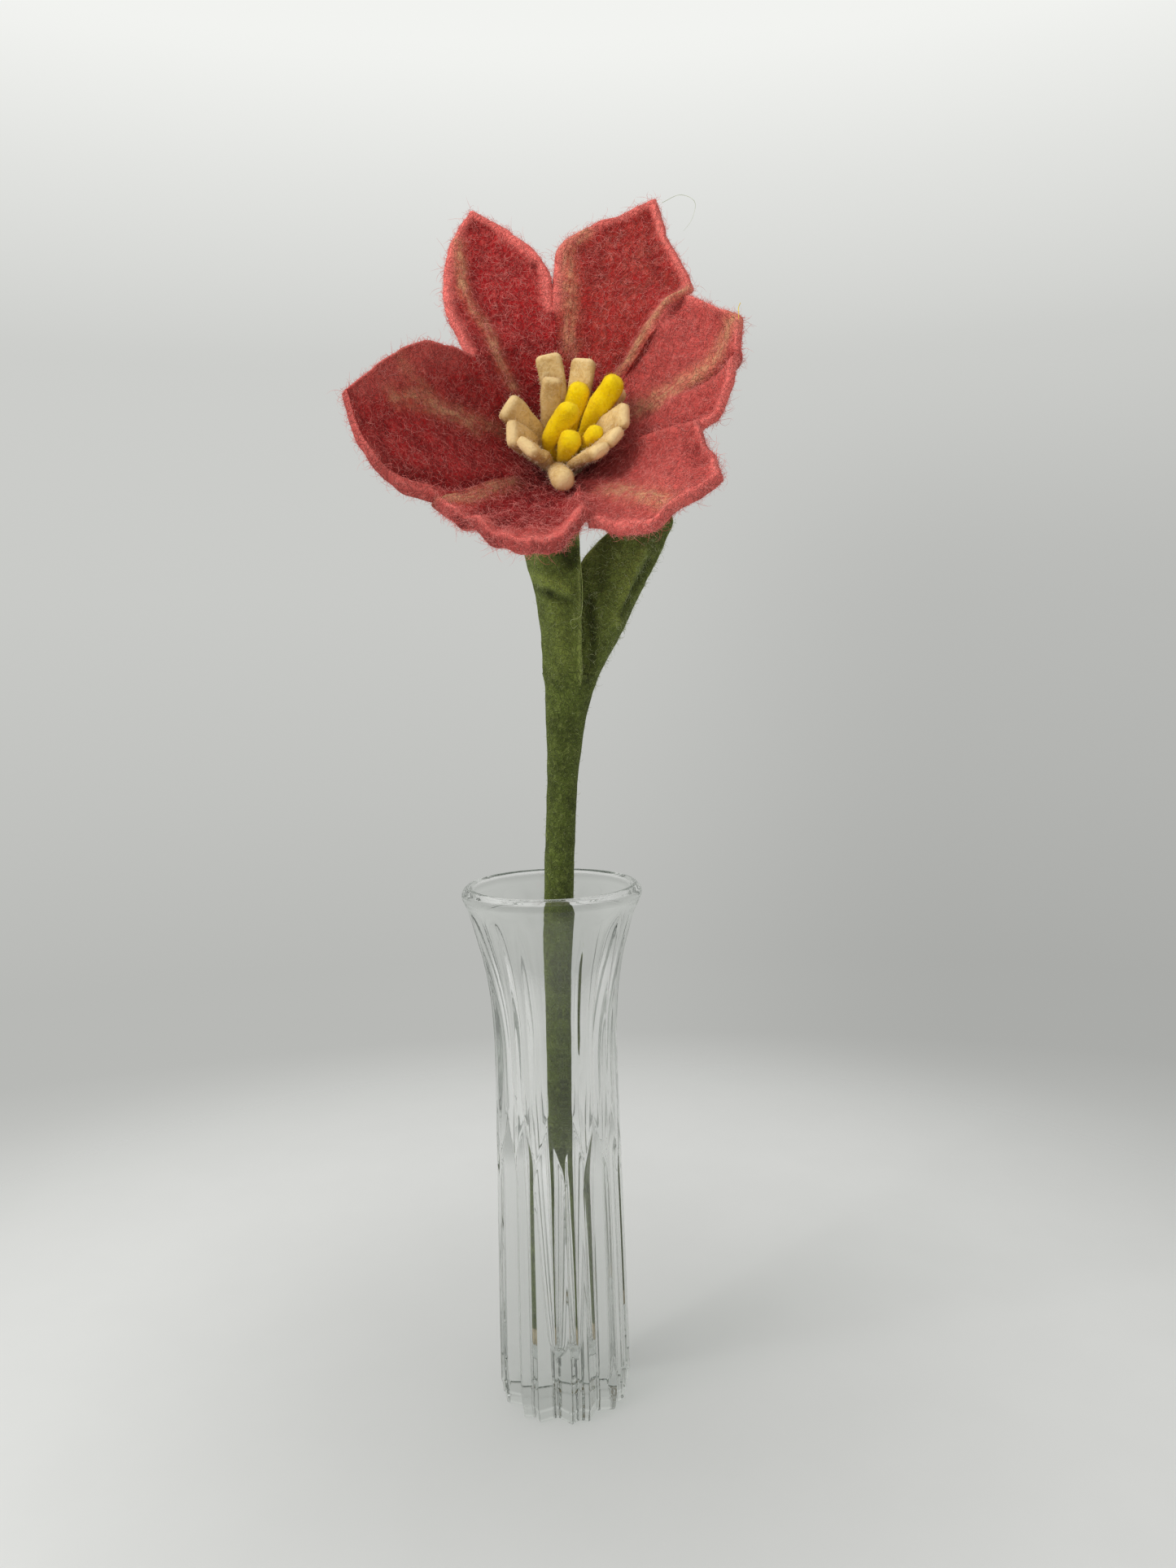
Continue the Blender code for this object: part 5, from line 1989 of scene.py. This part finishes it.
@dataclass
class Studio:
    """A plain pale floor, a soft pale surround, soft lights and the camera."""

    camera_place: Point = (0.0131, -0.4045, 0.2562)
    lens: float = 28.0
    sensor: float = 36.0
    look_down: float = 6.07
    roll: float = 1.48
    surround: tuple[tuple[float, Colour], ...] = (
        (-90.0, paint(196, 197, 195)), (-24.0, paint(208, 209, 206)), (-20.5, paint(198, 199, 196)),
        (-17.5, paint(184, 185, 182)), (-14.0, paint(184, 185, 182)), (-6.0, paint(193, 194, 191)),
        (3.0, paint(201, 202, 199)), (13.0, paint(205, 206, 203)), (20.0, paint(226, 227, 224)),
        (25.0, paint(242, 243, 240)), (90.0, paint(250, 250, 250)),
    )
    glass_surround: tuple[tuple[float, Colour], ...] = (
        (-90.0, paint(160, 161, 158)), (-18.0, paint(178, 180, 176)), (-8.0, paint(184, 186, 182)),
        (6.0, paint(192, 194, 190)), (22.0, paint(206, 208, 204)), (34.0, paint(182, 184, 180)),
        (52.0, paint(170, 172, 168)), (64.0, paint(250, 250, 250)), (90.0, paint(255, 255, 255)),
    )
    dim_front: Colour = paint(120, 121, 119)
    ambient: float = 0.5
    right_shade: float = 0.16
    floor_gap: float = 0.0002
    floor_radius: float = 0.45
    floor_near: Colour = paint(205, 206, 203)
    floor_far: Colour = paint(222, 223, 220)
    floor_grain: Colour = paint(180, 181, 178)
    floor_fade: tuple[float, float] = (0.2, 0.42)
    bounces: int = 32
    softboxes: tuple[Softbox, ...] = (
        Softbox("overhead_softbox", (0.0, 0.05, 1.35), (0.0, 0.0, 0.3), 1.0, 3.4),
        Softbox("left_softbox", (-0.95, -0.62, 0.95), (0.0, 0.0, 0.28), 0.6, 10.5),
        Softbox("front_fill", (0.05, -0.85, 0.12), (0.0, -0.03, 0.31), 0.5, 1.15),
    )

    def build_camera(self) -> None:
        """Place the camera a little above the rim of the vase, looking slightly down."""
        data = bpy.data.cameras.new("camera")
        data.lens = self.lens
        data.sensor_width = self.sensor
        camera = bpy.data.objects.new("camera", data)
        turn = (Matrix.Rotation(math.radians(90 - self.look_down), 4, "X")
                @ Matrix.Rotation(math.radians(-self.roll), 4, "Z"))
        camera.matrix_world = Matrix.Translation(self.camera_place) @ turn
        bpy.context.scene.collection.objects.link(camera)
        bpy.context.scene.camera = camera

    def build_world(self) -> None:
        """Make the surround: a pale gradient to look at, and an even light for the felt."""
        world = bpy.data.worlds.new("surround")
        bpy.context.scene.world = world
        world.use_nodes = True
        graph = Graph(world.node_tree)
        direction = graph.node("ShaderNodeTexCoord").outputs["Generated"]
        parts = graph.node("ShaderNodeSeparateXYZ", None, {0: direction})
        rise = Number(graph, parts.outputs["Z"]).then("ARCSINE") * (1 / math.pi) + 0.5
        plain, glassy = (
            graph.node("ShaderNodeValToRGB", {"stops": [(angle / 180 + 0.5, colour)
                                                        for angle, colour in stops]}, {"Fac": rise})
            for stops in (self.surround, self.glass_surround))
        ways = graph.node("ShaderNodeLightPath").outputs
        in_glass = graph.math("MAXIMUM", Number(graph, ways["Is Glossy Ray"]),
                              Number(graph, ways["Is Transmission Ray"]))
        seen = in_glass.then("MAXIMUM", Number(graph, ways["Is Camera Ray"]))
        front = 1 - Number(graph, parts.outputs["Y"]).between(-0.75, 0.1)
        low = 1 - Number(graph, parts.outputs["Z"]).between(0.5, 0.8)
        glassy = graph.mix(front * low, glassy.outputs[0], self.dim_front)
        right = Number(graph, parts.outputs["X"]).between(-0.05, 0.3)
        right = right * (1 - Number(graph, parts.outputs["Z"]).between(0.03, 0.26)) * self.right_shade
        plain = graph.mix(right, plain.outputs[0], (0.0, 0.0, 0.0))
        surround = graph.mix(in_glass, plain, glassy)
        look = graph.node("ShaderNodeBackground", None, {"Color": surround})
        light = graph.node("ShaderNodeBackground", None, {"Color": (1, 1, 1), "Strength": self.ambient})
        mixed = graph.node("ShaderNodeMixShader", None, {0: seen, 1: light.outputs[0], 2: look.outputs[0]})
        graph.node("ShaderNodeOutputWorld", None, {"Surface": mixed.outputs[0]})

    def build_floor(self) -> None:
        """Lay a round pale floor that fades into the surround."""
        material, graph = new_material("pale_floor")
        place = graph.own_place()
        reach = graph.node("ShaderNodeVectorMath", {"operation": "LENGTH"}, {0: place})
        reach = Number(graph, reach.outputs["Value"])
        grain = graph.noise(place, 30.0, 4.0)
        colour = graph.mix(reach.between(0.03, 0.22), self.floor_near, self.floor_far)
        colour = graph.mix(grain.between(0.3, 0.7) * 0.04, colour, self.floor_grain)
        paper = graph.node("ShaderNodeBsdfPrincipled", None, {
            "Base Color": colour, "Roughness": 0.85, "Specular IOR Level": 0.15})
        nothing = graph.node("ShaderNodeBsdfTransparent")
        fade = reach.between(*self.floor_fade)
        mixed = graph.node(
            "ShaderNodeMixShader", None, {0: fade, 1: paper.outputs[0], 2: nothing.outputs[0]})
        graph.show(mixed)
        bm = bmesh.new()
        bmesh.ops.create_circle(bm, cap_ends=True, radius=self.floor_radius, segments=96)
        bmesh.ops.translate(bm, vec=(0, 0, -self.floor_gap), verts=bm.verts)
        floor = link_mesh("floor", bm, material)

    @staticmethod
    def build_light(box: Softbox) -> None:
        """Add one light, which nothing mirrors.

        Args:
            box: The light.
        """
        data = bpy.data.lights.new(box.name, "AREA")
        data.shape = "SQUARE"
        data.size = box.size
        data.energy = box.power
        light = bpy.data.objects.new(box.name, data)
        light.location = box.place
        direction = Vector(box.target) - Vector(box.place)
        light.rotation_euler = direction.to_track_quat("-Z", "Y").to_euler()
        light.visible_camera = light.visible_glossy = light.visible_transmission = False
        bpy.context.scene.collection.objects.link(light)

    def build(self) -> None:
        """Build the whole studio."""
        scene = bpy.context.scene
        scene.view_settings.view_transform = "Standard"
        scene.cycles.max_bounces = scene.cycles.transmission_bounces = self.bounces
        scene.cycles.transparent_max_bounces = scene.cycles.glossy_bounces = self.bounces
        self.build_camera()
        self.build_world()
        self.build_floor()
        for box in self.softboxes:
            self.build_light(box)


class Seed(IntEnum):
    """Where the chance of each felt's fibres starts; the petals take six in a row."""

    PETALS = 20
    STAMENS = 40
    STIGMA = 41
    LOBES = 50
    SLEEVE = 51


PETAL_FRINGE = FuzzStyle(FuzzKind.HALO, 1300, (0.5, 2.0), 0.5, radius=0.031, edge_bias=36.0, steps=4)
PETAL_MAT = FuzzStyle(FuzzKind.MATTED, 2900, (2.0, 6.5), 0.45, radius=0.034)
STAMEN_FUZZ = FuzzStyle(FuzzKind.HALO, 450, (0.4, 1.6), 0.45, radius=0.028, steps=4)
STIGMA_FUZZ = FuzzStyle(FuzzKind.HALO, 450, (0.4, 1.3), 0.45, radius=0.028, steps=4)
LOBE_FRINGE = FuzzStyle(FuzzKind.HALO, 900, (0.6, 2.6), 0.45, edge_bias=14.0, steps=4)
LOBE_MAT = FuzzStyle(FuzzKind.MATTED, 1000, (2.0, 5.0), 0.5, radius=0.03)
SLEEVE_FUZZ = FuzzStyle(FuzzKind.HALO, 1500, (0.5, 2.0), 0.35)


class HibiscusInVase:
    """Everything that is seen of the flower and its vase."""

    def __init__(self) -> None:
        """Make the finishes and find the flower's frame."""
        self.coral = CORAL.dress()
        self.green = GREEN.dress()
        self.cream = CREAM.dress()
        self.yellow = YELLOW.dress()
        self.core = CORE_WOOL.dress()
        self.glass = GlassFinish().dress()
        self.coral_fuzz = FuzzFinish("coral_fibres", paint(212, 88, 82), paint(234, 144, 134)).dress()
        self.green_fuzz = FuzzFinish("green_fibres", paint(134, 148, 78), paint(176, 184, 134)).dress()
        self.cream_fuzz = FuzzFinish("cream_fibres", paint(232, 208, 168), paint(240, 222, 190)).dress()
        self.yellow_fuzz = FuzzFinish("yellow_fibres", paint(226, 190, 30), paint(240, 214, 70)).dress()
        self.flower = FlowerFrame.from_neck()

    def build_flower(self) -> None:
        """Build petals, stamens and stigma, with their loose fibres."""
        corolla = Corolla(self.flower)
        for index, shape in enumerate(PETALS):
            petal = corolla.build(shape, self.coral)
            fringe = replace(PETAL_FRINGE, length=(PETAL_FRINGE.length[0], shape.fringe))
            Fuzz(Seed.PETALS + index).grow(
                shape.name + "_fuzz", [petal], [fringe, PETAL_MAT], self.coral_fuzz)
        ring = Stamens(self.flower)
        strips = [ring.build(index, self.cream) for index in range(len(ring.tips))]
        Fuzz(Seed.STAMENS).grow("stamens_fuzz", strips, [STAMEN_FUZZ], self.cream_fuzz)
        middle = Stigma(self.flower)
        fingers = [middle.build(index, self.yellow) for index in range(len(middle.fingers))]
        Fuzz(Seed.STIGMA).grow("stigma_fuzz", fingers, [STIGMA_FUZZ], self.yellow_fuzz)

    def build_stem(self) -> None:
        """Build stem, neck and lobes, with their loose fibres."""
        stem = Stem(self.flower)
        sleeve = stem.build_sleeve(self.green)
        stem.build_core(self.core)
        stem.build_neck(self.coral)
        wire = frame["nodes"]["stem_wire"].data.materials
        wire.clear()
        wire.append(WireFinish().dress())
        lobes = Lobes()
        left = lobes.build("leaf_left", lobes.left, lobes.left_folds, self.green)
        right = lobes.build("leaf_right", lobes.right, lobes.right_folds, self.green)
        Fuzz(Seed.LOBES).grow(
            "leaves_fuzz", [left, right], [LOBE_FRINGE, LOBE_MAT], self.green_fuzz)
        Fuzz(Seed.SLEEVE).grow("stem_fuzz", [sleeve], [SLEEVE_FUZZ], self.green_fuzz)
        Threads(self.flower).build(self.green_fuzz, self.yellow_fuzz)

    def build(self) -> None:
        """Build every piece."""
        Vase().build(self.glass)
        self.build_stem()
        self.build_flower()


def main() -> None:
    """Build the studio and the object."""
    logging.basicConfig(level=logging.INFO, format="%(message)s")
    Studio().build()
    HibiscusInVase().build()


if __name__ == "__main__":
    main()
